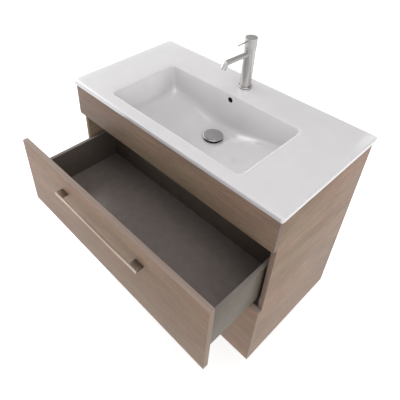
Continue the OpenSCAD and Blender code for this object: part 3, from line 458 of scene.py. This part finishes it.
def add_piece(name, shape, materials, *nodes, body=None, slot=None, sharp_deg=SHARP_DEG):
    """A new piece from a bmesh, which stands for nodes and takes their body if none is given. Its slot
    argument is not used.
    """
    bmesh.ops.recalc_face_normals(shape, faces=shape.faces)
    smooth(shape, sharp_deg)
    mesh = bpy.data.meshes.new(name)
    shape.to_mesh(mesh)
    shape.free()
    for material in materials:
        mesh.materials.append(MATERIALS[material])
    piece = bpy.data.objects.new(name, mesh)
    bpy.context.collection.objects.link(piece)
    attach(piece, body or body_of(nodes[0]))
    if nodes:
        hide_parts(*nodes)
    return piece


def mend(shape):
    """Join what a cut or a bevel left doubled, and drop faces without area."""
    bmesh.ops.remove_doubles(shape, verts=shape.verts, dist=JOIN)
    bmesh.ops.dissolve_degenerate(shape, dist=JOIN, edges=shape.edges)


def change(piece, tool_shape, operation):
    """Adds a closed bmesh to a piece, or cuts it out, for good."""
    bmesh.ops.recalc_face_normals(tool_shape, faces=tool_shape.faces)
    mesh = bpy.data.meshes.new("tool")
    tool_shape.to_mesh(mesh)
    tool_shape.free()
    tool = bpy.data.objects.new("tool", mesh)
    bpy.context.collection.objects.link(tool)
    step = piece.modifiers.new("step", "BOOLEAN")
    step.operation = operation
    step.solver = "EXACT"
    step.object = tool
    bpy.context.view_layer.update()
    done = bpy.data.meshes.new_from_object(piece.evaluated_get(bpy.context.evaluated_depsgraph_get()))
    piece.modifiers.clear()
    piece.data = done
    bpy.data.objects.remove(tool)
    shape = bmesh.new()
    shape.from_mesh(done)
    mend(shape)
    smooth(shape)
    shape.to_mesh(done)
    shape.free()


def round_edges(shape, edges, radius, steps=2):
    """Rounds some edges of a bmesh."""
    bmesh.ops.bevel(shape, geom=edges, offset=radius, segments=steps, profile=0.5, affect="EDGES",
                    clamp_overlap=True)


def refined(node, width=0.4 * MM, material=None):
    """A node's own form, with a fine rounding on every sharp edge."""
    shape = bmesh.new()
    shape.from_mesh(frame["nodes"][node].data)
    bmesh.ops.remove_doubles(shape, verts=shape.verts, dist=SAME_POINT)
    bmesh.ops.dissolve_limit(shape, angle_limit=math.radians(FLAT_DEG), verts=shape.verts, edges=shape.edges)
    sharp = [edge for edge in shape.edges
             if len(edge.link_faces) == 2 and edge.calc_face_angle(0.0) > math.radians(BEVEL_DEG)]
    round_edges(shape, sharp, width)
    mend(shape)
    return add_piece(node + "_part", shape, [material or slot_of(node)], node)


def board(node, face_axis, radius=0.6 * MM, edges=None, decor=None, inside=None, inner_face=0.0):
    """A board with fine rounded edges. Faces across face_axis are decor.

    edges gives the materials of the narrow faces by their axis, and inside is the material of the
    decor face that looks along inner_face's sign.
    """
    low, high = corners(node)
    shape = bmesh.new()
    made = bmesh.ops.create_cube(shape, size=1.0)
    bmesh.ops.scale(shape, vec=high - low, verts=made["verts"])
    bmesh.ops.translate(shape, vec=(high + low) / 2, verts=made["verts"])
    round_edges(shape, list(shape.edges), radius)
    shape.normal_update()
    edges = edges or {}
    decor = decor or slot_of(node)
    names = list(dict.fromkeys([decor, *edges.values(), inside or decor]))
    for face in shape.faces:
        axis = max(range(3), key=lambda k: abs(face.normal[k]))
        finish = edges.get(axis, decor)
        if axis == face_axis:
            finish = inside if face.normal[axis] * inner_face > 0 else decor
        face.material_index = names.index(finish)
    return add_piece(node + "_board", shape, names, node)


def loft(shape, rings, closed=True):
    """Quads between successive rings of points in a bmesh and, if closed, from the last to the first."""
    rows = [[shape.verts.new(point) for point in ring] for ring in rings]
    for a, b in zip(rows, rows[1:] + rows[:1] if closed else rows[1:]):
        for i in range(len(a)):
            j = (i + 1) % len(a)
            shape.faces.new((a[i], a[j], b[j], b[i]))
    return rows


def prism(shape, outline, far_outline):
    """A prism between two outlines with the same number of points, in a bmesh."""
    near, far = loft(shape, [outline, far_outline], closed=False)
    shape.faces.new(near[::-1])
    shape.faces.new(far)


def circle(radius, height, steps, place, ribs=0, rib_height=0.0):
    """Points on a circle round +Z, then placed. Ribs stand out by rib_height."""
    points = []
    for step in range(steps):
        angle = 2 * math.pi * step / steps
        reach = radius + rib_height * max(0.0, math.cos(ribs * angle))
        points.append(place @ Vector((reach * math.cos(angle), reach * math.sin(angle), height)))
    return points


def turned(shape, outline, place, steps):
    """Adds a solid turned round +Z and then placed, from the (radius, height) points of its outline."""
    loft(shape, [circle(radius, height, steps, place) for radius, height in outline])


def plug(outline, place):
    """A bmesh of a turned solid that is closed by a flat face at both ends of its outline."""
    shape = bmesh.new()
    rings = [circle(radius, height, PLUG_STEPS, place) for radius, height in outline]
    rows = loft(shape, rings, closed=False)
    for end in (0, -1):
        row, height = rows[end], outline[end][1]
        centre = shape.verts.new(place @ Vector((0, 0, height)))
        for i in range(PLUG_STEPS):
            shape.faces.new((row[i], row[(i + 1) % PLUG_STEPS], centre))
    return shape


def arc(centre, radius, start, end):
    """Outline points (radius, height) on an arc given in degrees."""
    angles = [math.radians(start + (end - start) * step / ARC_STEPS) for step in range(ARC_STEPS + 1)]
    return [(centre[0] + radius * math.cos(angle), centre[1] + radius * math.sin(angle)) for angle in angles]


def disc(shape, radius, height, rim, place, steps):
    """A round disc with a rounded upper rim, closed at its axis by a tiny hole."""
    turned(shape, [(CORE, 0), (radius, 0), *arc((radius - rim, height - rim), rim, 0, 90), (CORE, height)],
           place, steps)


def cross_slots(shape, reach, half_width, depth, place):
    """A plus-shaped prism, as the cutter for a screw's or cam's recess that opens at +Z."""
    outline = []
    for quarter in range(4):
        turn = Matrix.Rotation(math.radians(90 * quarter), 4, "Z")
        outline += [turn @ Vector((x, y, 0))
                    for x, y in ((reach, -half_width), (reach, half_width), (half_width, half_width))]
    prism(shape, *([place @ (point + Vector((0, 0, z))) for point in outline] for z in (-depth, depth)))


def quarter_turn(steps, first=0):
    """Angles from 0 to 90 degrees in equal steps."""
    return [math.radians(90 * step / steps) for step in range(first, steps + 1)]


# ---------------------------------------------------------------- basin

SLAB_LOW, SLAB_HIGH = corners("basin_slab")
BOWL_LOW, BOWL_HIGH = corners("basin_bowl")
SLAB_TOP = SLAB_HIGH.z
SLAB_T = SLAB_HIGH.z - SLAB_LOW.z
SLAB_CORNER, SLAB_TOP_R, SLAB_LOW_R = 7 * MM, 5 * MM, 2 * MM
CERAMIC_T = 12 * MM

# The bowl: half its opening, its middle, its walls' slope and its corners at the rim and at the foot
BOWL_HALF = (BOWL_HIGH.x - CERAMIC_T, 139.5 * MM)
BOWL_Y = BOWL_LOW.y + CERAMIC_T + BOWL_HALF[1]
DRAFT = 5 * MM
BOWL_CORNER, FOOT_CORNER = 15 * MM, 34 * MM
RIM_R, FOOT_R, UNDER_FOOT_R = 3.4 * MM, 32 * MM, 42 * MM
# How far the end walls' feet come inwards, and how far from the bowl's middle that begins
END_BOW, END_ZONE = 26 * MM, 150 * MM

# The floor's line: distance from the bowl's middle and depth below the top, both in mm
FLOOR_LINE = [(0, 139.0), (38, 139.0), (62, 134.0), (110, 120.0), (150, 112.0), (262, 92.0), (400, 92.0)]
BOWL_DEPTH = FLOOR_LINE[0][1] * MM
# By how much the floor rises to its front and back, in mm. That begins so far from the bowl's middle,
# and grows over the third number
DISH_RISE, DISH_FROM, DISH_GROWTH = 5.0, 40.0, 80.0
# The line's creases are averaged over this distance on both sides, in so many steps
CREASE_REACH, CREASE_STEPS = 22 * MM, 4
FLOOR_TOP = SLAB_TOP - BOWL_DEPTH
FLOOR_UNDER = FLOOR_TOP - CERAMIC_T

DRAIN_AT = (0.0, middle("drain_cap").y)
TAP_AT = (0.0, middle("tap_base_ring").y)
DRAIN_AXIS = Matrix.Translation((*DRAIN_AT, 0))
TAP_AXIS = Matrix.Translation((*TAP_AT, 0))
DRAIN_R, DRAIN_PLAY = 23 * MM, 0.3 * MM
RECESS_R, RECESS = 32.6 * MM, 4 * MM
COLLAR_R, TAP_HOLE_R = 33 * MM, 17.5 * MM

# The overflow: the channel outside and the duct inside it, and the round hole in the bowl's wall
CHANNEL_HALF, CHANNEL_T, CHANNEL_WALL, CHANNEL_EDGE = 20 * MM, 20 * MM, 5 * MM, 3 * MM
CHANNEL_LAP = 4 * MM
DUCT_HALF, DUCT_T = 15 * MM, 8 * MM
DUCT_BACK = BOWL_HIGH.y - CHANNEL_WALL
DUCT_LOW = BOWL_LOW.z + CHANNEL_WALL
OVERFLOW_R, OVERFLOW_FLARE = 10 * MM, 4.5 * MM
OVERFLOW_Z = SLAB_TOP - 22 * MM

LONG_POINTS, SHORT_POINTS, CORNER_POINTS = 44, 26, 10
RIM_STEPS, WALL_STEPS, FOOT_STEPS, FLOOR_STEPS = 6, 8, 7, 22
EDGE_STEPS, UNDER_EDGE_STEPS, DECK_STEPS = 6, 3, 6


def rounded_ring(centre, half, radius):
    """Points round a rounded rectangle, counter-clockwise, with the same count for every size."""
    quadrants = [(1, 1, 0), (-1, 1, 90), (-1, -1, 180), (1, -1, 270)]

    def on_corner(index, angle):
        """The point at an angle into one of the four corners."""
        sx, sy, start = quadrants[index % 4]
        turn = math.radians(start + angle)
        return (centre[0] + sx * (half[0] - radius) + radius * math.cos(turn),
                centre[1] + sy * (half[1] - radius) + radius * math.sin(turn))

    points = []
    for index, count in enumerate((LONG_POINTS, SHORT_POINTS) * 2):
        points += [on_corner(index, 90 * step / CORNER_POINTS) for step in range(CORNER_POINTS + 1)]
        (x0, y0), (x1, y1) = points[-1], on_corner(index + 1, 0)
        points += [(x0 + (x1 - x0) * step / count, y0 + (y1 - y0) * step / count) for step in range(1, count)]
    return points


def round_ring(centre, radius):
    """Points round a circle that match rounded_ring one to one."""
    long_turn, short_turn = 100.0, 70.0
    corner_turn = (360.0 - 2 * long_turn - 2 * short_turn) / 4
    angles = []
    start = short_turn / 2
    for count, turn in ((LONG_POINTS, long_turn), (SHORT_POINTS, short_turn)) * 2:
        angles += [start + corner_turn * step / CORNER_POINTS for step in range(CORNER_POINTS + 1)]
        start += corner_turn
        angles += [start + turn * step / count for step in range(1, count)]
        start += turn
    return [(centre[0] + radius * math.cos(math.radians(angle)),
             centre[1] + radius * math.sin(math.radians(angle))) for angle in angles]


def between(ring_a, ring_b, steps):
    """Rings that lead from one ring to the next in equal steps, both ends left out."""
    return [[tuple(a + (b - a) * k / steps for a, b in zip(p, q)) for p, q in zip(ring_a, ring_b)]
            for k in range(1, steps)]


def floor_depth(x, y):
    """Depth of the bowl's floor below the top: a valley at the drain, dished front to back."""
    reach = abs(x) / MM
    depth = FLOOR_LINE[-1][1]
    for (x0, d0), (x1, d1) in zip(FLOOR_LINE, FLOOR_LINE[1:]):
        if x0 <= reach <= x1:
            depth = d0 + (d1 - d0) * (reach - x0) / (x1 - x0)
            break
    side = (y - BOWL_Y) / BOWL_HALF[1]
    away = min(1.0, max(0.0, (reach - DISH_FROM) / DISH_GROWTH))
    return (depth - DISH_RISE * away * side * side) * MM


def smooth_depth(x, y):
    """The floor's depth averaged along the bowl, which rounds the valley's creases."""
    steps = range(-CREASE_STEPS, CREASE_STEPS + 1)
    return sum(floor_depth(x + CREASE_REACH * k / CREASE_STEPS, y) for k in steps) / len(steps)


def bowl_rings(grow, rim_r, foot_r, start_depth, bow=0.0):
    """Rings from the rim down the wall to the floor, for the bowl grown outwards by grow.

    The end walls' feet come inwards by bow halfway along them.
    """
    def inset_ring(inset, bow_share=0.0):
        """The opening's outline at an inset, with its corners widened and its ends bowed by the share."""
        half = (BOWL_HALF[0] + grow - inset, BOWL_HALF[1] + grow - inset)
        foot_share = max(0.0, inset) / (DRAFT + foot_r)
        ring = rounded_ring((0, BOWL_Y), half, BOWL_CORNER + (FOOT_CORNER - BOWL_CORNER) * foot_share)
        bowed = []
        for x, y in ring:
            at_end = max(0.0, (abs(x) - END_ZONE) / (half[0] - END_ZONE))
            halfway = 1.0 - ((y - BOWL_Y) / half[1]) ** 2
            bowed.append((x - math.copysign(bow * bow_share * at_end * halfway, x), y))
        return bowed

    foot_ring = inset_ring(DRAFT + foot_r, 1.0)
    bottoms = [SLAB_TOP - smooth_depth(x, y) - grow for x, y in foot_ring]
    top = SLAB_TOP - start_depth - rim_r
    rings = []
    for angle in quarter_turn(RIM_STEPS):
        ring = inset_ring(-rim_r * (1 - math.sin(angle)))
        rings.append([(x, y, top + rim_r * math.cos(angle)) for x, y in ring])
    for step in range(1, WALL_STEPS + 1):
        share = step / WALL_STEPS
        ring = inset_ring(DRAFT * share, share)
        rings.append([(x, y, top + share * (low + foot_r - top)) for (x, y), low in zip(ring, bottoms)])
    for angle in quarter_turn(FOOT_STEPS, 1):
        ring = inset_ring(DRAFT + foot_r * (1 - math.cos(angle)), 1.0)
        rings.append([(x, y, low + foot_r * (1 - math.sin(angle))) for (x, y), low in zip(ring, bottoms)])
    return rings, foot_ring


def floor_rings(foot_ring, grow, hole_r):
    """Rings from the wall's foot inwards to a round hole, on the bowl's floor."""
    hole = round_ring(DRAIN_AT, hole_r)
    rings = []
    for ring in between(foot_ring, hole, FLOOR_STEPS):
        rings.append([(x, y, SLAB_TOP - smooth_depth(x, y) - grow) for x, y in ring])
    rings.append([(x, y, FLOOR_TOP - grow) for x, y in hole])
    return rings


def drain_rings():
    """Rings round the drain's recess, down and inwards, and through its hole."""
    levels = ((RECESS_R, FLOOR_TOP - RECESS), (DRAIN_R, FLOOR_TOP - RECESS), (DRAIN_R, FLOOR_UNDER))
    return [[(x, y, z) for x, y in round_ring(DRAIN_AT, radius)] for radius, z in levels]


def slab_edge_rings():
    """Rings over the slab's rounded outer edge, from the top down."""
    half = (SLAB_HIGH.x, (SLAB_HIGH.y - SLAB_LOW.y) / 2)
    centre = (0, (SLAB_HIGH.y + SLAB_LOW.y) / 2)
    levels = [(SLAB_TOP_R * (1 - math.sin(angle)), SLAB_TOP - SLAB_TOP_R * (1 - math.cos(angle)))
              for angle in quarter_turn(EDGE_STEPS)]
    levels += [(SLAB_LOW_R * (1 - math.cos(angle)), SLAB_LOW.z + SLAB_LOW_R * (1 - math.sin(angle)))
               for angle in quarter_turn(UNDER_EDGE_STEPS)]
    return [[(x, y, z) for x, y in rounded_ring(centre, (half[0] - inset, half[1] - inset), SLAB_CORNER)]
            for inset, z in levels]


def bent_channel(half_width, front, back, low, foot_top, top):
    """A bmesh of a channel that comes down behind the bowl and turns forwards to the drain at its foot."""
    outline = [(DRAIN_AT[1], low), (back, low), (back, top), (front, top), (front, foot_top),
               (DRAIN_AT[1], foot_top)]
    shape = bmesh.new()
    prism(shape, *([(x, y, z) for y, z in outline] for x in (-half_width, half_width)))
    return shape


def add_overflow(basin):
    """The overflow's channel with its duct, the collar round the drain, and the hole in the wall."""
    channel = bent_channel(CHANNEL_HALF, BOWL_HIGH.y - CHANNEL_T, BOWL_HIGH.y, BOWL_LOW.z, FLOOR_UNDER + MM,
                           SLAB_LOW.z + CHANNEL_LAP)
    round_edges(channel, list(channel.edges), CHANNEL_EDGE, 3)
    change(basin, channel, "UNION")
    collar = plug([(COLLAR_R - MM, BOWL_LOW.z), (COLLAR_R, BOWL_LOW.z + MM), (COLLAR_R, FLOOR_UNDER + MM)],
                  DRAIN_AXIS)
    change(basin, collar, "UNION")
    duct_front = DUCT_BACK - DUCT_T
    duct = bent_channel(DUCT_HALF, duct_front, DUCT_BACK, DUCT_LOW, DUCT_LOW + DUCT_T,
                        OVERFLOW_Z + OVERFLOW_R)
    # The duct's faces take the near-black painted shade
    for face in duct.faces:
        face.material_index = 1
    change(basin, duct, "DIFFERENCE")
    # Deeper in the hole than this, its wall takes the near-black painted shade
    shade_depth = 10 * MM
    hole = plug([(OVERFLOW_R + OVERFLOW_FLARE, -18 * MM), (OVERFLOW_R, -13 * MM), (OVERFLOW_R, -shade_depth),
                 (OVERFLOW_R, DUCT_T / 2)], facing_back(0, duct_front, OVERFLOW_Z))
    for face in hole.faces:
        face.material_index = 1 if face.calc_center_median().y > duct_front - shade_depth else 0
    change(basin, hole, "DIFFERENCE")


def make_basin():
    """The ceramic top in one skin: slab, rim, bowl, valley floor, drain recess and overflow channel."""
    edge = slab_edge_rings()
    inside, foot = bowl_rings(0.0, RIM_R, FOOT_R, 0.0, END_BOW)
    outside, under_foot = bowl_rings(CERAMIC_T, 0.0, UNDER_FOOT_R, SLAB_T)
    rings = edge[::-1] + between(edge[0], inside[0], DECK_STEPS) + inside
    rings += floor_rings(foot, 0.0, RECESS_R) + drain_rings()
    rings += floor_rings(under_foot, CERAMIC_T, DRAIN_R + MM)[::-1] + outside[RIM_STEPS:][::-1]
    shape = bmesh.new()
    loft(shape, rings)
    basin = add_piece("basin_ceramic", shape, ["ceramic", "duct"], "basin_slab", "basin_bowl")
    add_overflow(basin)
    for axis, radius, low, high in (
            (DRAIN_AXIS, DRAIN_R + DRAIN_PLAY, BOWL_LOW.z - MM, FLOOR_UNDER + 4 * MM),
            (TAP_AXIS, TAP_HOLE_R, SLAB_LOW.z - MM, SLAB_TOP + MM)):
        change(basin, plug([(radius, low), (radius, high)], axis), "DIFFERENCE")


# ---------------------------------------------------------------- tap

def make_tap():
    """Column, spout, cap and lever with fine edges. The cap and the spout's front are more satin."""
    column = refined("tap_body", 0.5 * MM)
    column.data.materials.append(MATERIALS["tap_satin"])
    # The spout's front begins this far from the column's axis
    spout_from = 22 * MM
    for face in column.data.polygons:
        face.material_index = 1 if face.center.y < TAP_AT[1] - spout_from else 0
    refined("tap_cap", 0.5 * MM, "tap_satin")
    for node in ("tap_lever", "tap_aerator", "tap_gasket"):
        refined(node, 0.2 * MM)
    make_base_ring()
    make_cap_dark_spot()


def make_base_ring():
    """The ring round the column's foot, with a rounded shoulder."""
    low, high = corners("tap_base_ring")
    outer, height = (high.x - low.x) / 2, high.z - low.z
    shoulder, chamfer, lap = 1.6 * MM, 0.4 * MM, 0.7 * MM
    inner = corners("tap_cap")[1].x - lap
    shape = bmesh.new()
    turned(shape, [(inner, 0), (outer - chamfer, 0), (outer, chamfer),
                   *arc((outer - shoulder, height - shoulder), shoulder, 0, 90), (inner, height)],
           Matrix.Translation((*TAP_AT, low.z)), TURN_STEPS)
    add_piece("tap_base_ring_turned", shape, ["tap_metal"], "tap_base_ring")


def make_cap_dark_spot():
    """A small dark disc at the front of the tap's cap."""
    low = corners("tap_cap")[0]
    radius, thick, rim = 1.7 * MM, 0.6 * MM, 0.1 * MM
    rise, proud = 8 * MM, 0.05 * MM
    shape = bmesh.new()
    place = facing_back(0, low.y - proud, low.z + rise) @ FLIP @ Matrix.Translation((0, 0, -thick))
    disc(shape, radius, thick, rim, place, 24)
    add_piece("tap_cap_dark_spot", shape, ["black_rubber"], body=body_of("tap_cap"), slot="black_rubber")


# ---------------------------------------------------------------- waste

# The waste pipes, the bores that they pass through, and their slip nuts
PIPE_R, PIPE_WALL = 16 * MM, 1.8 * MM
BORE_R = PIPE_R + 0.2 * MM
NUT_R, NUT_L, NUT_RIBS, RIB_HEIGHT = 19.6 * MM, 16 * MM, 18, 0.9 * MM


def make_drain():
    """The drain's domed cap with its stem, and the flange that it closes on."""
    low, high = corners("drain_cap")
    radius = (high.x - low.x) / 2
    stem_r, rim_t, crown = 3 * MM, 6 * MM, 0.8 * MM
    under = high.z - crown - rim_t
    tip, chamfer, seal_t = 0.4 * MM, 1.2 * MM, 3.4 * MM
    edge, edge_turn, dome_steps = 2.2 * MM, 78, 8
    outline = [(CORE, low.z), (stem_r - tip, low.z), (stem_r, low.z + tip), (stem_r, under),
               (radius - chamfer, under), (radius, under + chamfer), (radius, under + seal_t)]
    outline += arc((radius - edge, high.z - crown - edge), edge, 0, edge_turn)
    reach, top = outline[-1]
    for step in range(1, dome_steps + 1):
        share = 1 - step / dome_steps
        outline.append((reach * share + CORE, top + (high.z - top) * (1 - share ** 2)))
    shape = bmesh.new()
    turned(shape, outline, DRAIN_AXIS, TURN_STEPS)
    for face in shape.faces:
        face.material_index = 1 if face.calc_center_median().z < under + seal_t else 0
    add_piece("drain_cap_turned", shape, ["chrome", "black_rubber"], "drain_cap", sharp_deg=30.0)
    for node in ("drain_flange", "drain_nut", "drain_cartridge"):
        refined(node, 0.3 * MM)


def make_trap():
    """Waste pipes with softened ends, and the wall rosette."""
    for node in ("waste_cup", "trap_pipe", "trap_bend", "trap_outlet"):
        refined(node)
    low, high = corners("wall_rosette")
    radius, thick = (high.x - low.x) / 2, high.y - low.y
    brim, rim, rim_turn, lip = 2 * MM, 5 * MM, -70, 4 * MM
    shape = bmesh.new()
    turned(shape, [(radius, 0), *arc((radius - rim, -brim), rim, 0, rim_turn), (BORE_R + lip, -thick),
                   (BORE_R, -thick), (BORE_R, 0)],
           facing_back((low.x + high.x) / 2, high.y, (low.z + high.z) / 2), TURN_STEPS)
    add_piece("rosette_turned", shape, ["white_plastic"], "wall_rosette")


def make_slip_nuts():
    """The ribbed nuts at the waste cup's outlet and at both ends of the trap."""
    cup_low, cup_high = corners("waste_cup")
    trap_y = middle("trap_bend").y
    places = [facing_back(0, cup_high.y - NUT_L / 2, cup_low.z + PIPE_WALL + PIPE_R),
              Matrix.Translation((0, trap_y, corners("trap_bend")[1].z - NUT_L)),
              Matrix.Translation((middle("wall_rosette").x, trap_y, corners("slip_nuts")[0].z))]
    # Radius, height and rib height of each point
    outline = [(BORE_R, 0, 0.0), (NUT_R - MM, 0, 0.0), (NUT_R, MM, RIB_HEIGHT),
               (NUT_R, NUT_L - 4 * MM, RIB_HEIGHT), (NUT_R, NUT_L - 3 * MM, 0.0),
               (NUT_R - 2 * MM, NUT_L, 0.0), (BORE_R, NUT_L, 0.0)]
    steps = 8 * NUT_RIBS
    shape = bmesh.new()
    for place in places:
        loft(shape, [circle(radius, height, steps, place, NUT_RIBS, rib) for radius, height, rib in outline])
    add_piece("slip_nuts_ribbed", shape, ["white_plastic"], "slip_nuts", sharp_deg=30.0)


# ---------------------------------------------------------------- fasteners

def make_cams():
    """The carcass's round cam fittings, each with a cross recess."""
    radius, depth, rim, from_end = 7.5 * MM, 12 * MM, 0.4 * MM, 34 * MM
    slot_reach, slot_half, slot_depth = 4.2 * MM, 0.9 * MM, 1.6 * MM
    side_low = corners("side_panel_right")[0]
    cam_x = side_low.x - from_end
    places = []
    for node in ("rear_top_rail", "rear_bottom_rail"):
        low, high = corners(node)
        places += [facing_back(side * cam_x, high.y - depth, low.z + (high.z - low.z) * level)
                   for side in (-1, 1) for level in (0.25, 0.75)]
    rear_y = corners("rear_top_rail")[0].y
    bottom_z = corners("cam_fittings")[0].z + depth
    places += [Matrix.Translation((side * cam_x, y, bottom_z)) @ FLIP
               for side in (-1, 1) for y in (side_low.y + 2 * from_end, rear_y - from_end)]
    shape, slots = bmesh.new(), bmesh.new()
    for place in places:
        disc(shape, radius, depth, rim, place, 36)
        cross_slots(slots, slot_reach, slot_half, slot_depth, place @ Matrix.Translation((0, 0, depth)))
    change(add_piece("cam_discs", shape, ["zinc_steel"], "cam_fittings"), slots, "DIFFERENCE")


def make_handle_screws(level):
    """The two screws of a handle, with domed cross-slotted heads on the front's back."""
    node = level + "_handle_screws"
    low, high = corners(node)
    head_r, head_t, shank_r = 4 * MM, 2.5 * MM, 1.9 * MM
    brim, crown = 0.8 * MM, 1.7 * MM
    slot_reach, slot_half, slot_depth = 2.2 * MM, 0.5 * MM, 1.3 * MM
    shank = low.y - (high.y - head_t)
    outline = [(CORE, shank), (shank_r - 0.5 * MM, shank), (shank_r, shank + 0.6 * MM), (shank_r, 0),
               (head_r, 0), (head_r, brim)]
    for angle in (math.radians(degrees) for degrees in (25, 50, 75, 90)):
        outline.append((head_r * math.cos(angle) + CORE, brim + crown * math.sin(angle)))
    shape, slots = bmesh.new(), bmesh.new()
    for x in (low.x + head_r, high.x - head_r):
        place = facing_back(x, high.y - head_t, (low.z + high.z) / 2)
        turned(shape, outline, place, 32)
        cross_slots(slots, slot_reach, slot_half, slot_depth, place @ Matrix.Translation((0, 0, head_t)))
    change(add_piece(node + "_turned", shape, ["zinc_steel"], node), slots, "DIFFERENCE")


# ---------------------------------------------------------------- cabinet and drawers

# What a shut drawer front keeps clear of the panels and rails behind it
SHUT_GAP = 0.2 * MM
# The rounding of the drawer boxes' and handles' edges, and of the drawers' floors
DRAWER_R, BOTTOM_R = 0.8 * MM, 0.3 * MM
# The materials of the boards' narrow faces, by axis
SIDE_EDGES = {1: "edge_side", 2: "edge_side"}
FRONT_EDGES = {0: "edge_end", 2: "edge_top"}
APRON_EDGES = {0: "edge_side", 2: "edge_top"}
DRAWER_EDGES = {2: "drawer_edge"}


def make_cabinet():
    """The carcass's boards with their edge bands, and its steel fittings."""
    board("side_panel_left", 0, edges=SIDE_EDGES)
    board("side_panel_right", 0, edges=SIDE_EDGES)
    # The apron takes the darker copy of the fronts' decor, as painted shade
    board("front_apron", 1, edges=APRON_EDGES, decor="wood_apron_shaded")
    for node in ("bottom_panel", "rear_top_rail", "rear_bottom_rail"):
        refined(node, 0.5 * MM, "wood_back")
    for node in ("apron_brackets", "hanger_left", "hanger_right", "wall_rail"):
        refined(node)


def make_front(level):
    """A drawer's front, with its back face moved forwards by the gap."""
    front = board(level + "_front", 1, edges=FRONT_EDGES)
    back_y = corners(level + "_front")[1].y - SHUT_GAP
    for vertex in front.data.vertices:
        vertex.co.y = min(vertex.co.y, back_y)


def make_drawer(level):
    """A drawer: front, box, handle with its screws, and runners."""
    make_front(level)
    # The inner faces of the drawer's sides and back take the darker copy of its grey, as painted shade
    for part, axis, inner_face in (("_side_left", 0, 1.0), ("_side_right", 0, -1.0), ("_back", 1, -1.0)):
        board(level + part, axis, DRAWER_R, DRAWER_EDGES, inside="drawer_inside_shaded", inner_face=inner_face)
    board(level + "_bottom", 2, BOTTOM_R)
    board(level + "_handle_bar", 1, DRAWER_R)
    # The handle's feet take their slot's dark brown, a painted reflection of a dark ceiling
    refined(level + "_handle_feet")
    make_handle_screws(level)
    # The runners take the near-black rail steel, as painted shade
    for rail in ("_rail_left", "_rail_right", "_middle_rails", "_drawer_rails"):
        refined(level + rail, 0.3 * MM, "rail_steel")


# ---------------------------------------------------------------- the build

bpy.context.scene.view_settings.view_transform = "Standard"
make_camera()
make_world()
make_floor()
make_lamps()

for name, piece in frame["nodes"].items():
    piece.data.materials.clear()
    piece.data.materials.append(MATERIALS[slot_of(name)])

make_basin()
make_tap()
make_drain()
make_trap()
make_slip_nuts()
make_cams()
make_cabinet()
make_drawer("upper")
make_drawer("lower")
